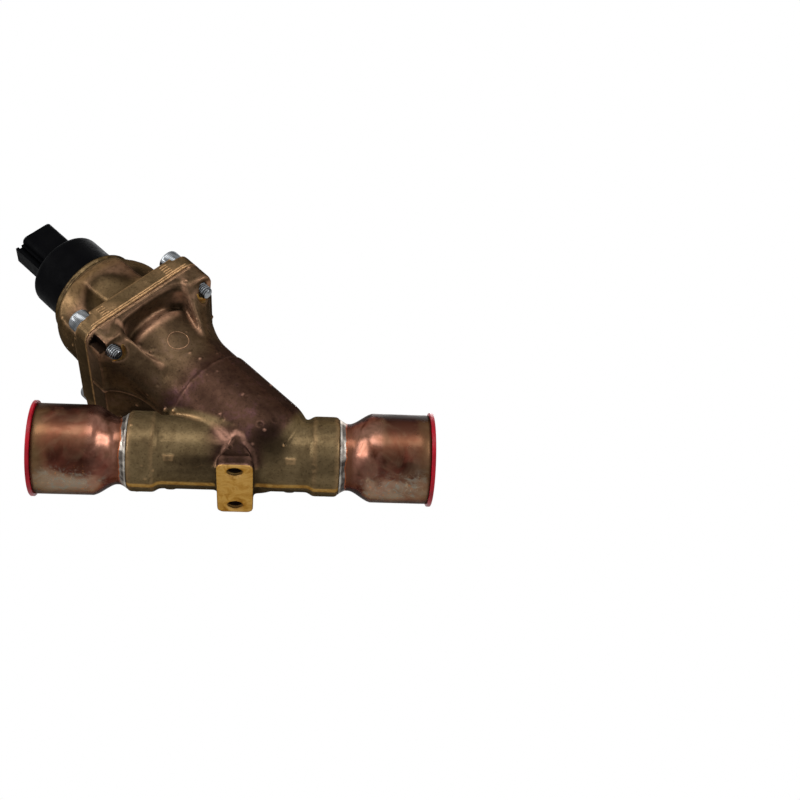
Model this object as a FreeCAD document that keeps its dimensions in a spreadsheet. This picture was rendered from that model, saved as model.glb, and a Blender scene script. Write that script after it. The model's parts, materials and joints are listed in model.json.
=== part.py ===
import FreeCAD, Part
import math
import os
import Sketcher

# Electronic throttle valve: an angle-seat bronze body with copper solder ends, a bolted cover and a stepper
# motor.
# Millimetres. +X runs along the pipe, +Z up. The origin is the middle of the machined mounting pad.
# On the barrel, heights are measured along its axis from the point where it crosses the pipe's axis.

doc = FreeCAD.newDocument("ThrottleValve")

dimensions = {
    # pipe run
    "pipeHeight": 17.5,
    "pipeRadius": 15.5,
    "pipeBore": 12.7,
    "collarRadius": 17.1,
    "collarLength": 10.8,
    "collarTaper": 2.4,
    "collarBevel": 1.0,
    "inletEnd": 45.2,
    "outletEnd": 43.4,
    "inletBoreGap": 18.5,
    "outletBoreGap": 2.6,
    "socketDepth": 9.0,
    # copper solder couplings
    "neckRadius": 14.3,
    "neckWall": 1.25,
    "neckReach": 6.2,
    "taperLength": 7.6,
    "bellRadius": 19.05,
    "bellWall": 1.5,
    "couplingReach": 38.0,
    "brazeReach": 3.2,
    "brazeHeight": 1.9,
    # transport plugs
    "plugFlangeRadius": 20.2,
    "plugFlange": 1.7,
    "plugDepth": 13.0,
    "plugWall": 1.3,
    "plugClearance": 0.3,
    "plugBevel": 1.2,
    "plugRimRound": 0.4,
    "plugSeat": 0.05,
    # mounting pad
    "padWidth": 15.2,
    "padLength": 37.0,
    "padSlab": 4.8,
    "padCorner": 3.0,
    "padHolePitch": 26.0,
    "padHoleRadius": 3.0,
    "padHoleDepth": 10.0,
    "padHolePoint": 1.7,
    "padSinkRadius": 3.65,
    "padSinkDepth": 0.375,
    "hoodHeight": 15.0,
    "hoodInset": 0.8,
    "hoodShoulder": 7.0,
    "hoodTip": 0.9,
    "nubInlet": 27.6,
    "nubOutlet": 22.8,
    "nubWidth": 4.0,
    "nubLength": 3.0,
    "nubRise": 0.9,
    "nubLean": 132.0,
    # barrel
    "barrelAngle": 45.0,
    "barrelShift": 15.9,
    "barrelBottom": 9.5,
    "barrelBlunt": 12.0,
    "bluntLevel": 8.0,
    "lowerBarrelRadius": 22.0,
    "upperBarrelRadius": 21.3,
    "stepLevel": 41.6,
    "stepTaper": 0.9,
    "waistLevel": 50.0,
    "flareStart": 57.5,
    "shoulderLevel": 75.6,
    "shoulderRadius": 24.0,
    "shoulderEdge": 2.2,
    "barrelBore": 16.5,
    "portRadius": 10.5,
    "seatLevel": 8.0,
    "portEnd": 6.0,
    # bolted joint
    "jointLevel": 83.0,
    "flangeHalf": 31.2,
    "flangeCorner": 6.0,
    "flangeThickness": 9.2,
    "ledgeRadius": 18.6,
    "ledgeDepth": 1.5,
    "coveDrop": 3.4,
    "coveArch": 0.7,
    "coveCorner": 5.0,
    "coveTopHalf": 16.6,
    "coveBottomHalf": 10.5,
    "coveHeight": 24.6,
    "notchReach": 3.6,
    "notchDepth": 4.2,
    "notchDrop": 2.4,
    "notchHeight": 6.0,
    "screwInset": 6.2,
    "screwHole": 3.3,
    "threadHole": 3.0,
    "screwRadius": 2.9,
    "screwLength": 22.0,
    "screwPoint": 0.7,
    "screwHeadRadius": 5.0,
    "screwHead": 6.0,
    "screwHeadRound": 0.5,
    "screwSocket": 5.0,
    "screwSocketDepth": 3.0,
    "headSeatRadius": 6.6,
    "headSeatDepth": 1.7,
    "spotFaceRadius": 4.7,
    "spotFaceDrop": 11.6,
    "spotFaceDepth": 16.0,
    # cover
    "coverPlate": 9.0,
    "bonnetHeight": 28.8,
    "bonnetBore": 17.9,
    "bonnetWall": 3.0,
    "bonnetFootInset": 2.8,
    "bonnetWaistRadius": 26.8,
    "bonnetWaistRise": 15.0,
    "beadHeight": 2.3,
    "beadBulge": 0.7,
    "pocketSpread": 1.06,
    "pocketWall": 0.6,
    "coverHole": 6.4,
    "sealGrooveRadius": 20.2,
    "sealRadius": 0.85,
    "sealGrooveShare": 1.3,
    "sealGap": 0.02,
    # valve insert
    "seatHeight": 4.0,
    "seatBevel": 0.3,
    "sleeveStart": 30.0,
    "sleeveWall": 2.35,
    "sleeveBevel": 0.6,
    "sleeveRimGap": 0.1,
    "runningFit": 0.05,
    "pistonTip": 11.5,
    "tipBevel": 0.4,
    "pistonStep": 17.0,
    "pistonTaper": 2.0,
    "pistonLength": 40.0,
    "pistonWall": 3.0,
    "pistonFloor": 8.0,
    "pistonWell": 4.0,
    "wellGap": 0.4,
    "ringDrop": 6.0,
    "ringWidth": 2.0,
    "ringDepth": 1.5,
    "nutRadius": 7.0,
    "nutLength": 14.0,
    "nutFlange": 2.4,
    "nutFlangeHeight": 2.0,
    "pistonLift": 12.0,
    "spindleGap": 0.95,
    "spindleRadius": 3.0,
    "spindleBevel": 0.6,
    "spindleCollar": 1.6,
    "spindleCollarHeight": 1.5,
    "journalRadius": 2.0,
    "journalGap": 0.5,
    # motor
    "bushFit": 0.1,
    "bushFlange": 1.5,
    "bushFlangeHeight": 1.9,
    "thrustGap": 0.1,
    "canRadius": 10.1,
    "canWall": 0.5,
    "upperBushLength": 5.0,
    "canRound": 0.6,
    "canFlange": 13.0,
    "canFlangeHeight": 1.2,
    "rotorRise": 5.0,
    "rotorLength": 31.0,
    "rotorEndGap": 1.0,
    "magnetRadius": 9.2,
    "magnetInset": 1.0,
    "magnetBevel": 0.5,
    "magnetBore": 6.0,
    "coilRadius": 14.2,
    "coilGap": 0.02,
    "coilBobbin": 0.9,
    "statorRadius": 15.0,
    "statorGap": 0.2,
    "spacerGap": 0.1,
    "statorShortfall": 3.0,
    "poleSheet": 0.7,
    # motor cap with its connector
    "capRadius": 18.2,
    "capRoofGap": 1.7,
    "capRound": 3.0,
    "capDraft": 0.15,
    "capSeat": 0.1,
    "capFootRadius": 19.5,
    "capFootHeight": 1.6,
    "capFootSink": 1.5,
    "capFootGap": 0.1,
    "capSkirtRadius": 17.6,
    "capSkirtLength": 15.6,
    "capBore": 15.4,
    "capRoofThickness": 5.1,
    "capSealRise": 4.0,
    "connectorLength": 21.1,
    "connectorWidth": 15.9,
    "connectorDepth": 14.6,
    "connectorShift": 1.45,
    "connectorCorner": 2.6,
    "connectorWall": 1.4,
    "socketLength": 14.0,
    "latchReach": 4.5,
    "latchWidth": 8.6,
    "latchDrop": 0.5,
    "latchGroove": 1.7,
    "latchGrooveDepth": 1.5,
    "pinRadius": 0.75,
    "pinFit": 0.02,
    "pinRoot": 0.6,
    "pinPoint": 1.2,
    "pinPitch": 4.2,
    "pinReach": 9.5,
}

sheet = doc.addObject("Spreadsheet::Sheet", "Sizes")
for row, (alias, number) in enumerate(dimensions.items(), start=1):
    sheet.set("A%d" % row, alias)
    sheet.set("B%d" % row, str(number))
    sheet.setAlias("B%d" % row, alias)
doc.recompute()


class Size:
    # A length that carries both its value and the sheet expression that it comes from.
    def __init__(self, value, text):
        self.value = value
        self.text = text

    def join(self, sign, other, value):
        other = as_size(other)
        return Size(value, "(%s %s %s)" % (self.text, sign, other.text))

    def __add__(self, other):
        return self.join("+", other, self.value + as_size(other).value)

    def __sub__(self, other):
        return self.join("-", other, self.value - as_size(other).value)

    def __mul__(self, other):
        return self.join("*", other, self.value * as_size(other).value)

    def __truediv__(self, other):
        return self.join("/", other, self.value / as_size(other).value)

    def __neg__(self):
        return Size(-self.value, "(0 - %s)" % self.text)


class Bend:
    # A point that the outline passes through on one arc, between the corners before and after it.
    def __init__(self, x, y):
        self.place = (as_size(x), as_size(y))


def as_size(number):
    return number if isinstance(number, Size) else Size(float(number), repr(float(number)))


def root(size):
    return Size(math.sqrt(size.value), "sqrt(%s)" % size.text)


def arc_middle(across, along):
    # The middle of an arc that starts out parallel to the axis and ends at these distances from its start.
    chord = root(across * across + along * along)
    return chord * (chord - along) / (across * 2), chord / 2


def cell(alias):
    return Size(float(dimensions[alias]), "Sizes." + alias)


def bind(target, path, size):
    target.setExpression(path, as_size(size).text)


def set_size(target, name, size):
    setattr(target, name, as_size(size).value)
    bind(target, name, size)


# Cutting tools run past the faces that they open by this much.
overrun = 1

# How far a quarter round's middle lies inside its corner, as a share of its radius.
round_share = 1 - math.sqrt(0.5)

# Derived levels and places that several pieces share.
pipe_height = cell("pipeHeight")
joint = cell("jointLevel")
flange_under = joint - cell("flangeThickness")
plate_top = joint + cell("coverPlate")
bonnet_top = plate_top + cell("bonnetHeight")
bonnet_neck = cell("bonnetBore") + cell("bonnetWall")
screw_offset = cell("flangeHalf") - cell("screwInset")
head_seat = plate_top - cell("headSeatDepth")
cap_foot = bonnet_top - cell("capFootSink")
seat_top = cell("seatLevel") + cell("seatHeight")
sleeve_outer = cell("barrelBore") - cell("runningFit")
sleeve_inner = cell("barrelBore") - cell("sleeveWall")
piston_radius = sleeve_inner - cell("runningFit")
piston_base = seat_top + cell("runningFit")
piston_well = piston_base + cell("pistonFloor")
bush_bore = cell("spindleRadius") + cell("runningFit")
bush_top = plate_top + cell("bushFlangeHeight")
rotor_start = plate_top + cell("rotorRise")
rotor_end = rotor_start + cell("rotorLength")
upper_bush_start = rotor_end + cell("rotorEndGap")
upper_bush_end = upper_bush_start + cell("upperBushLength")
can_top = upper_bush_end + cell("canWall")
coil_length = (cell("rotorLength") - cell("statorShortfall")) / 2
stator_bore = cell("canRadius") + cell("statorGap")
cap_roof = can_top + cell("capRoofGap")
cap_end = cap_roof + cell("capRoofThickness")
connector_end = cap_end + cell("connectorLength")
cap_seal_radius = cell("bonnetBore") - cell("sealGap") - cell("sealRadius")
slope = Size(math.cos(math.radians(dimensions["barrelAngle"])), "cos(Sizes.barrelAngle)")
rise = Size(math.sin(math.radians(dimensions["barrelAngle"])), "sin(Sizes.barrelAngle)")


def placed(target, base, axis, angle):
    # Puts a piece at a point, turned about an axis, with every number bound to the sheet.
    base = [as_size(value) for value in base]
    angle = as_size(angle)
    centre = FreeCAD.Vector(*[value.value for value in base])
    target.Placement = FreeCAD.Placement(centre, FreeCAD.Rotation(FreeCAD.Vector(*axis), angle.value))
    for letter, value in zip("xyz", base):
        bind(target, "Placement.Base." + letter, value)
    if angle.value:
        bind(target, "Placement.Rotation.Angle", angle)
    return target


def on_barrel(target, across=0, aside=0, level=0):
    # Local X lies across the barrel in the valve's plane of symmetry, local Y is the row's Y, local Z its axis.
    across, aside, level = as_size(across), as_size(aside), as_size(level)
    x = cell("barrelShift") - level * slope + across * rise
    z = pipe_height + level * rise + across * slope
    return placed(target, (x, aside, z), (0, 1, 0), cell("barrelAngle") - 90)


def on_pipe(target, side=1):
    # Local Z runs along the pipe, towards the outlet (side 1) or the inlet (side -1).
    return placed(target, (0, 0, pipe_height), (0, 1, 0), 90 * side)


def origin_plane(body, role):
    return next(item for item in body.Origin.OriginFeatures if item.Role == role)


def new_sketch(body, role="XY_Plane", level=0):
    sketch = body.newObject("Sketcher::SketchObject", body.Name + "Sketch")
    sketch.AttachmentSupport = [(origin_plane(body, role), "")]
    sketch.MapMode = "FlatFace"
    if isinstance(level, Size):
        sketch.AttachmentOffset = FreeCAD.Placement(FreeCAD.Vector(0, 0, level.value), FreeCAD.Rotation())
        bind(sketch, "AttachmentOffset.Base.z", level)
    return sketch


def constrain(sketch, *terms, size=None):
    index = sketch.addConstraint(Sketcher.Constraint(*terms))
    if isinstance(size, Size):
        bind(sketch, "Constraints[%d]" % index, size)


def flat_point(place):
    return FreeCAD.Vector(place[0].value, place[1].value, 0)


def hold(sketch, number, vertex, place):
    for kind, size in zip(("DistanceX", "DistanceY"), place):
        constrain(sketch, kind, -1, 1, number, vertex, size.value, size=size)


def draw_outline(sketch, points):
    # A closed outline. Each corner, and each point that an arc passes through, is held by its two distances
    # from the origin.
    points = [point if isinstance(point, Bend) else (as_size(point[0]), as_size(point[1])) for point in points]
    runs = []
    for index, corner in enumerate(points):
        if isinstance(corner, Bend):
            continue
        after = points[(index + 1) % len(points)]
        bend = after.place if isinstance(after, Bend) else None
        runs.append((corner, bend, points[(index + 2) % len(points)] if bend else after))
    curves = []
    for corner, bend, after in runs:
        start, end = flat_point(corner), flat_point(after)
        curve = Part.Arc(start, flat_point(bend), end) if bend else Part.LineSegment(start, end)
        number = sketch.addGeometry(curve, False)
        first = 1 if sketch.getPoint(number, 1).distanceToPoint(start) < 1e-6 else 2
        curves.append((number, first, 3 - first))
    for index, (number, first, last) in enumerate(curves):
        following = curves[(index + 1) % len(curves)]
        constrain(sketch, "Coincident", number, last, following[0], following[1])
    for (corner, bend, after), (number, first, last) in zip(runs, curves):
        hold(sketch, number, first, corner)
        if bend:
            through = sketch.addGeometry(Part.Point(flat_point(bend)), True)
            constrain(sketch, "PointOnObject", through, 1, number)
            hold(sketch, through, 1, bend)


def draw_rounded(sketch, half_width, half_height, corner, shift=0):
    # A rectangle with round corners about the origin, or moved along X by shift.
    w, h, r, s = [as_size(value) for value in (half_width, half_height, corner, shift)]
    quarter = math.pi / 2
    right, left = s.value + w.value, s.value - w.value
    top, inner = h.value, h.value - r.value
    near, far = right - r.value, left + r.value
    centres = [(near, inner), (far, inner), (far, -inner), (near, -inner)]
    arcs = []
    for turn, (x, y) in enumerate(centres):
        circle = Part.Circle(FreeCAD.Vector(x, y, 0), FreeCAD.Vector(0, 0, 1), r.value)
        arcs.append(sketch.addGeometry(Part.ArcOfCircle(circle, turn * quarter, (turn + 1) * quarter), False))
    ends = [((near, top), (far, top)), ((left, inner), (left, -inner)), ((far, -top), (near, -top)),
            ((right, -inner), (right, inner))]
    lines = [sketch.addGeometry(Part.LineSegment(FreeCAD.Vector(*a, 0), FreeCAD.Vector(*b, 0)), False)
             for a, b in ends]
    for turn in range(4):
        constrain(sketch, "Tangent", arcs[turn], 2, lines[turn], 1)
        constrain(sketch, "Tangent", lines[turn], 2, arcs[(turn + 1) % 4], 1)
    for turn in (0, 2):
        constrain(sketch, "Horizontal", lines[turn])
    for turn in (1, 3):
        constrain(sketch, "Vertical", lines[turn])
    for turn in (1, 2, 3):
        constrain(sketch, "Equal", arcs[0], arcs[turn])
    constrain(sketch, "Radius", arcs[0], r.value, size=r)
    constrain(sketch, "DistanceX", -1, 1, lines[3], 1, right, size=s + w)
    constrain(sketch, "DistanceX", lines[1], 1, -1, 1, -left, size=w - s)
    constrain(sketch, "DistanceY", -1, 1, lines[0], 1, top, size=h)
    constrain(sketch, "DistanceY", lines[2], 1, -1, 1, top, size=h)


def turned(name, points):
    # A piece of revolution about its local Z, from an outline of (radius, height) corners.
    body = doc.addObject("PartDesign::Body", name)
    sketch = new_sketch(body, "XZ_Plane")
    draw_outline(sketch, points)
    turn = body.newObject("PartDesign::Revolution", name + "Turn")
    turn.Profile = sketch
    turn.ReferenceAxis = (sketch, ["V_Axis"])
    turn.Angle = 360
    body.Tip = turn
    return body


def extruded(name, draw, length, level=0, role="XY_Plane", both=False):
    # A prism from the outline that draw makes, starting at a level.
    body = doc.addObject("PartDesign::Body", name)
    sketch = new_sketch(body, role, level)
    draw(sketch)
    pad = body.newObject("PartDesign::Pad", name + "Pad")
    pad.Profile = sketch
    set_size(pad, "Length", length)
    pad.Midplane = both
    body.Tip = pad
    return body


def cylinder(name, radius, length):
    piece = doc.addObject("Part::Cylinder", name)
    set_size(piece, "Radius", radius)
    set_size(piece, "Height", length)
    return piece


def box(name, length, width, height):
    piece = doc.addObject("Part::Box", name)
    set_size(piece, "Length", length)
    set_size(piece, "Width", width)
    set_size(piece, "Height", height)
    return piece


def fused(name, pieces):
    result = doc.addObject("Part::MultiFuse", name)
    result.Shapes = pieces
    return result


def cut(name, base, tool):
    result = doc.addObject("Part::Cut", name)
    result.Base = base
    result.Tool = tool
    return result


parts = []


def keep(piece, label):
    piece.Label = label
    parts.append(piece)
    return piece


def ring(name, inner, outer, bottom, top):
    return turned(name, [(inner, bottom), (outer, bottom), (outer, top), (inner, top)])


def bevelled_ring(name, inner, outer, bottom, top, bevel):
    edge = outer - bevel
    return turned(name, [(inner, bottom), (edge, bottom), (outer, bottom + bevel), (outer, top - bevel),
                         (edge, top), (inner, top)])


def torus(name, major, minor, level):
    piece = doc.addObject("Part::Torus", name)
    set_size(piece, "Radius1", major)
    set_size(piece, "Radius2", minor)
    return on_barrel(piece, 0, 0, level)


def grouped(name, pieces):
    # Separate solids that share one node.
    group = doc.addObject("Part::Compound", name)
    group.Links = pieces
    return group


screw_places = [(screw_offset * i, screw_offset * j) for i, j in ((1, 1), (-1, 1), (-1, -1), (1, -1))]


def pipe_run():
    # The straight run of the casting, with a raised collar at each end.
    taper, bevel, length = cell("collarTaper"), cell("collarBevel"), cell("collarLength")
    radius, collar = cell("pipeRadius"), cell("collarRadius")
    inlet, outlet = -cell("inletEnd"), cell("outletEnd")
    outline = [(0, inlet), (collar - bevel, inlet), (collar, inlet + bevel), (collar, inlet + length),
               (radius, inlet + length + taper), (radius, outlet - length - taper), (collar, outlet - length),
               (collar, outlet - bevel), (collar - bevel, outlet), (0, outlet)]
    return on_pipe(turned("PipeRun", outline))


def barrel_core():
    # The slanted barrel: a blunt lower end that swells out of the pipe, a slight step, and a flared shoulder.
    low, high = cell("lowerBarrelRadius"), cell("upperBarrelRadius")
    bottom, blunt, tangent = -cell("barrelBottom"), cell("barrelBlunt"), cell("bluntLevel")
    step, shoulder, level = cell("stepLevel"), cell("shoulderRadius"), cell("shoulderLevel")
    flare, edge = cell("flareStart"), cell("shoulderEdge")
    inward, down = arc_middle(blunt, tangent - bottom)
    outward, up = arc_middle(shoulder - high, level - edge - flare)
    corner = edge * round_share
    outline = [(0, bottom), (low - blunt, bottom), Bend(low - inward, tangent - down), (low, tangent),
               (low, step), (high, step + cell("stepTaper")), (high, flare), Bend(high + outward, flare + up),
               (shoulder, level - edge), Bend(shoulder - corner, level - corner), (shoulder - edge, level),
               (high, level + edge), (high, joint - overrun), (0, joint - overrun)]
    return on_barrel(turned("BarrelCore", outline))


# Each section of the flange's skirt: its share of the climb, of the widening and of the corners' tightening.
flare_shape = [(0, 0.002, 0.01), (0.46, 0.09, 0.235), (0.75, 0.36, 0.556), (1.025, 0.92, 0.87)]


def flange_flare():
    # The skirt between the round barrel and the square flange: a loft through rounded squares, whose
    # half width grows and whose corner radius shrinks on the way up.
    flange, corner = cell("flangeHalf"), cell("flangeCorner")
    high, waist = cell("upperBarrelRadius"), cell("waistLevel")
    climb, spread = flange_under - waist, flange - high
    body = doc.addObject("PartDesign::Body", "FlangeFlare")
    sketches = []
    for height, widening, tightening in flare_shape:
        sketch = new_sketch(body, "XY_Plane", waist + climb * height)
        half = high + spread * widening
        draw_rounded(sketch, half, half, high - (high - corner) * tightening)
        sketches.append(sketch)
    loft = body.newObject("PartDesign::AdditiveLoft", "FlareLoft")
    loft.Profile = sketches[0]
    loft.Sections = sketches[1:]
    body.Tip = loft
    return on_barrel(body)


def square_plate(name, level, thickness):
    half, corner = cell("flangeHalf"), cell("flangeCorner")
    return on_barrel(extruded(name, lambda sketch: draw_rounded(sketch, half, half, corner), thickness, level))


def coves():
    # The arched recesses that lighten the front and back of the flange between its corner ribs.
    top = flange_under + cell("flangeThickness") - cell("coveDrop")
    bottom = top - cell("coveHeight")
    wide, narrow, corner = cell("coveTopHalf"), cell("coveBottomHalf"), cell("coveCorner")
    spring = top - cell("coveArch")
    side = spring - corner
    inset = corner * round_share
    outline = [(-narrow, bottom), (narrow, bottom), (wide, side), Bend(wide - inset, spring - inset),
               (wide - corner, spring), Bend(0, top), (-(wide - corner), spring),
               Bend(-(wide - inset), spring - inset), (-wide, side)]
    reach = cell("flangeHalf") + overrun
    inner = cell("barrelBore")
    tools = []
    for name, start in (("CoveFront", inner), ("CoveBack", -reach)):
        draw = lambda sketch: draw_outline(sketch, outline)
        tools.append(on_barrel(extruded(name, draw, reach - inner, start, "XZ_Plane")))
    return tools


def pad_block():
    # The machined pad under the run, with a hood at each end that fades into the pipe.
    width, length = cell("padWidth"), cell("padLength")
    slab = extruded("PadSlab", lambda sketch: draw_rounded(sketch, width / 2, length / 2, cell("padCorner")),
                    cell("padSlab"))
    inset, tip, top = cell("hoodInset"), cell("hoodTip"), cell("hoodHeight")
    half, low = width / 2 - inset, cell("padSlab") / 2
    shoulder = cell("hoodShoulder")
    outline = [(-half, low), (half, low), (half - inset, shoulder), (tip, top - tip), Bend(0, top),
               (-tip, top - tip), (-(half - inset), shoulder)]
    hood = extruded("PadHood", lambda sketch: draw_outline(sketch, outline), length - inset * 2, 0, "XZ_Plane",
                    True)
    return [slab, hood]


def pipe_nubs():
    # Four small cast nubs on the lower flanks of the run.
    nubs = []
    width, length = cell("nubWidth"), cell("nubLength")
    lean = dimensions["nubLean"]
    along = Size(math.cos(math.radians(lean)), "cos(Sizes.nubLean)")
    up = Size(math.sin(math.radians(lean)), "sin(Sizes.nubLean)")
    for end, place in (("Inlet", -cell("nubInlet")), ("Outlet", cell("nubOutlet"))):
        for name, side in (("Front", 1), ("Back", -1)):
            nub = box(end + "Nub" + name, width, length, cell("pipeRadius") + cell("nubRise"))
            base = (place - width / 2, -(along * length / 2), pipe_height - up * length / 2 * side)
            nubs.append(placed(nub, base, (1, 0, 0), cell("nubLean") * side))
    return nubs


def chamber():
    # The bore for seat, sleeve and piston, with the port below it and a ledge for the sleeve's rim above.
    bore, ledge, port = cell("barrelBore"), cell("ledgeRadius"), cell("portRadius")
    seat, shelf = cell("seatLevel"), joint - cell("ledgeDepth")
    return on_barrel(turned("BarrelChamber", [(0, -cell("portEnd")), (port, -cell("portEnd")), (port, seat),
                                              (bore, seat), (bore, shelf), (ledge, shelf),
                                              (ledge, joint + overrun), (0, joint + overrun)]))


def run_bores():
    # The two passages of the run and the sockets that take the couplings' necks.
    inner, neck, shift = cell("pipeBore"), cell("neckRadius"), cell("barrelShift")
    tools = []
    for name, end, reach, side in (("Inlet", cell("inletEnd"), cell("inletBoreGap") - shift, -1),
                                   ("Outlet", cell("outletEnd"), shift + cell("outletBoreGap"), 1)):
        socket = end - cell("socketDepth")
        outline = [(0, reach), (inner, reach), (inner, socket), (neck, socket), (neck, end + overrun),
                   (0, end + overrun)]
        tools.append(on_pipe(turned(name + "Bore", outline), side))
    return tools


def pad_holes():
    # Two tapped holes in the pad, countersunk, with a drill point.
    sink, hole, depth = cell("padSinkRadius"), cell("padHoleRadius"), cell("padHoleDepth")
    tools = []
    for name, side in (("PadHoleFront", -1), ("PadHoleBack", 1)):
        outline = [(0, -overrun), (sink, -overrun), (sink, 0), (hole, cell("padSinkDepth")), (hole, depth),
                   (0, depth + cell("padHolePoint"))]
        tools.append(placed(turned(name, outline), (0, cell("padHolePitch") / 2 * side, 0), (0, 0, 1), 0))
    return tools


def flange_holes():
    # Tapped holes right through the flange's corners, each spot-faced from below where the screw comes out.
    drop, depth = cell("spotFaceDrop"), cell("spotFaceDepth")
    tools = []
    for number, (across, aside) in enumerate(screw_places):
        hole = cylinder("ThreadHole%d" % number, cell("threadHole"), drop + overrun * 2)
        tools.append(on_barrel(hole, across, aside, joint - drop - overrun))
        face = cylinder("SpotFace%d" % number, cell("spotFaceRadius"), depth)
        tools.append(on_barrel(face, across, aside, joint - drop - depth))
    return tools


def pry_notch():
    # A notch in one corner of the flange, where a lever parts the joint.
    reach, height = cell("notchReach"), cell("notchHeight")
    notch = box("PryNotch", reach + overrun, cell("notchDepth") + overrun, height)
    corner = -cell("flangeHalf") - overrun
    return on_barrel(notch, corner, corner, joint - cell("notchDrop") - height)


def valve_body():
    plate = square_plate("BodyFlange", flange_under, cell("flangeThickness"))
    outside = fused("CastingBlank", [flange_flare(), plate])
    recessed = cut("CastingRecessed", outside, fused("Coves", coves()))
    solid = fused("Casting", [recessed, barrel_core(), pipe_run()] + pad_block() + pipe_nubs())
    tools = [chamber(), pry_notch()] + run_bores() + flange_holes() + pad_holes()
    return keep(cut("ValveBody", solid, fused("BodyHollows", tools)), "valve_body")


def shoulder_curve(start, radius, length, grow):
    # The S of a reducing shoulder: two equal arcs that meet in the middle.
    inward, along = arc_middle(grow / 2, length / 2)
    return [(radius, start), Bend(radius + inward, start + along), (radius + grow / 2, start + length / 2),
            Bend(radius + grow - inward, start + length - along), (radius + grow, start + length)]


def coupling(name, end):
    # A reducing solder coupling: a neck in the casting's socket, an S-shaped shoulder and a long bell.
    neck, bell = cell("neckRadius"), cell("bellRadius")
    neck_bore, bell_bore = neck - cell("neckWall"), bell - cell("bellWall")
    root_end, mouth = end - cell("socketDepth"), end + cell("couplingReach")
    start, length = end + cell("neckReach"), cell("taperLength")
    outer = shoulder_curve(start, neck, length, bell - neck)
    inner = shoulder_curve(start, neck_bore, length, bell_bore - neck_bore)
    tail, lip = [(neck_bore, root_end), (neck, root_end)], [(bell, mouth), (bell_bore, mouth)]
    return turned(name + "Coupling", tail + outer + lip + inner[::-1])


def braze(name, end):
    # The fillet of brazing alloy between collar and neck.
    neck, height, width = cell("neckRadius"), cell("brazeHeight"), cell("brazeReach")
    belly = Bend(neck + height * 0.6, end + width * 0.55)
    return turned(name + "Braze", [(neck, end), (neck + height, end), belly, (neck, end + width)])


def plug(name, end):
    # A transport plug: a cup that sits in the bell, with a rim that covers its mouth.
    fit = cell("bellRadius") - cell("bellWall") - cell("plugClearance")
    flange, wall, bevel = cell("plugFlangeRadius"), cell("plugWall"), cell("plugBevel")
    mouth = end + cell("couplingReach")
    rim, floor = mouth + cell("plugSeat"), mouth - cell("plugDepth")
    face, soft = rim + cell("plugFlange"), cell("plugRimRound")
    corner = soft * round_share
    skin = [(0, floor), (fit - bevel, floor), (fit - bevel / 3, floor + bevel), (fit, rim)]
    lip = [(flange - soft, rim), Bend(flange - corner, rim + corner), (flange, rim + soft),
           (flange, face - soft), Bend(flange - corner, face - corner), (flange - soft, face)]
    cup = [(fit - wall, face), (fit - wall - bevel / 2, floor + wall), (0, floor + wall)]
    return turned(name + "Plug", skin + lip + cup)


def run_ends():
    for name, label, end, side in (("Inlet", "inlet", cell("inletEnd"), -1),
                                   ("Outlet", "outlet", cell("outletEnd"), 1)):
        keep(on_pipe(coupling(name, end), side), label + "_coupling")
        keep(on_pipe(braze(name, end), side), label + "_braze")
        keep(on_pipe(plug(name, end), side), label + "_plug")


def bonnet_dome():
    # The bonnet's full form of revolution: a hollow flank, a round shoulder and the bead that grips the cap.
    waist, neck, top = cell("bonnetWaistRadius"), bonnet_neck, bonnet_top
    foot = cell("flangeHalf") - cell("bonnetFootInset")
    waist_level, bead = plate_top + cell("bonnetWaistRise"), cell("beadHeight")
    shoulder = top - bead
    flank_out, flank_down = arc_middle(foot - waist, waist_level - plate_top)
    round_in, round_up = arc_middle(waist - neck, shoulder - waist_level)
    outline = [(0, joint + overrun), (foot, joint + overrun), (foot, plate_top),
               Bend(waist + flank_out, waist_level - flank_down), (waist, waist_level),
               Bend(waist - round_in, waist_level + round_up), (neck, shoulder),
               Bend(neck + cell("beadBulge"), top - bead / 2), (neck, top), (0, top)]
    return on_barrel(turned("BonnetDome", outline))


def cover():
    # The square cover plate and its domed bonnet, with a pocket at each corner for a screw head.
    bonnet = bonnet_dome()
    square = square_plate("BonnetSquare", joint + overrun, bonnet_top - joint)
    shaped = doc.addObject("Part::Common", "BonnetShaped")
    shaped.Base = bonnet
    shaped.Tool = square
    spread = cell("pocketSpread")
    reach = screw_offset * spread * math.sqrt(2) - bonnet_neck - cell("pocketWall")
    pockets = []
    for number, (across, aside) in enumerate(screw_places):
        pocket = cylinder("BonnetPocket%d" % number, reach, cell("bonnetHeight") + overrun)
        pockets.append(on_barrel(pocket, across * spread, aside * spread, plate_top))
    carved = cut("BonnetCarved", shaped, fused("BonnetPockets", pockets))
    solid = fused("CoverSolid", [carved, square_plate("CoverPlate", joint, cell("coverPlate"))])
    bore, hole = cell("bonnetBore"), cell("coverHole")
    low, high = joint - overrun, bonnet_top + overrun
    recess = cell("capFootRadius") + cell("capFootGap")
    hollow = turned("BonnetHollow", [(0, low), (hole, low), (hole, plate_top), (bore, plate_top),
                                     (bore, cap_foot), (recess, cap_foot), (recess, high), (0, high)])
    tools = [on_barrel(hollow), on_barrel(cover_groove())]
    for number, (across, aside) in enumerate(screw_places):
        drill = cylinder("CoverHole%d" % number, cell("screwHole"), cell("coverPlate") + overrun * 2)
        tools.append(on_barrel(drill, across, aside, joint - overrun))
        seat = cylinder("HeadSeat%d" % number, cell("headSeatRadius"), cell("headSeatDepth") + overrun)
        tools.append(on_barrel(seat, across, aside, head_seat))
    keep(cut("Cover", solid, fused("CoverHollows", tools)), "cover")


def cover_groove():
    seal, radius = cell("sealGrooveRadius"), cell("sealRadius")
    half, depth = radius * cell("sealGrooveShare"), (radius + cell("sealGap")) * 2
    return ring("SealGroove", seal - half, seal + half, joint - overrun, joint + depth)


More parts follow.
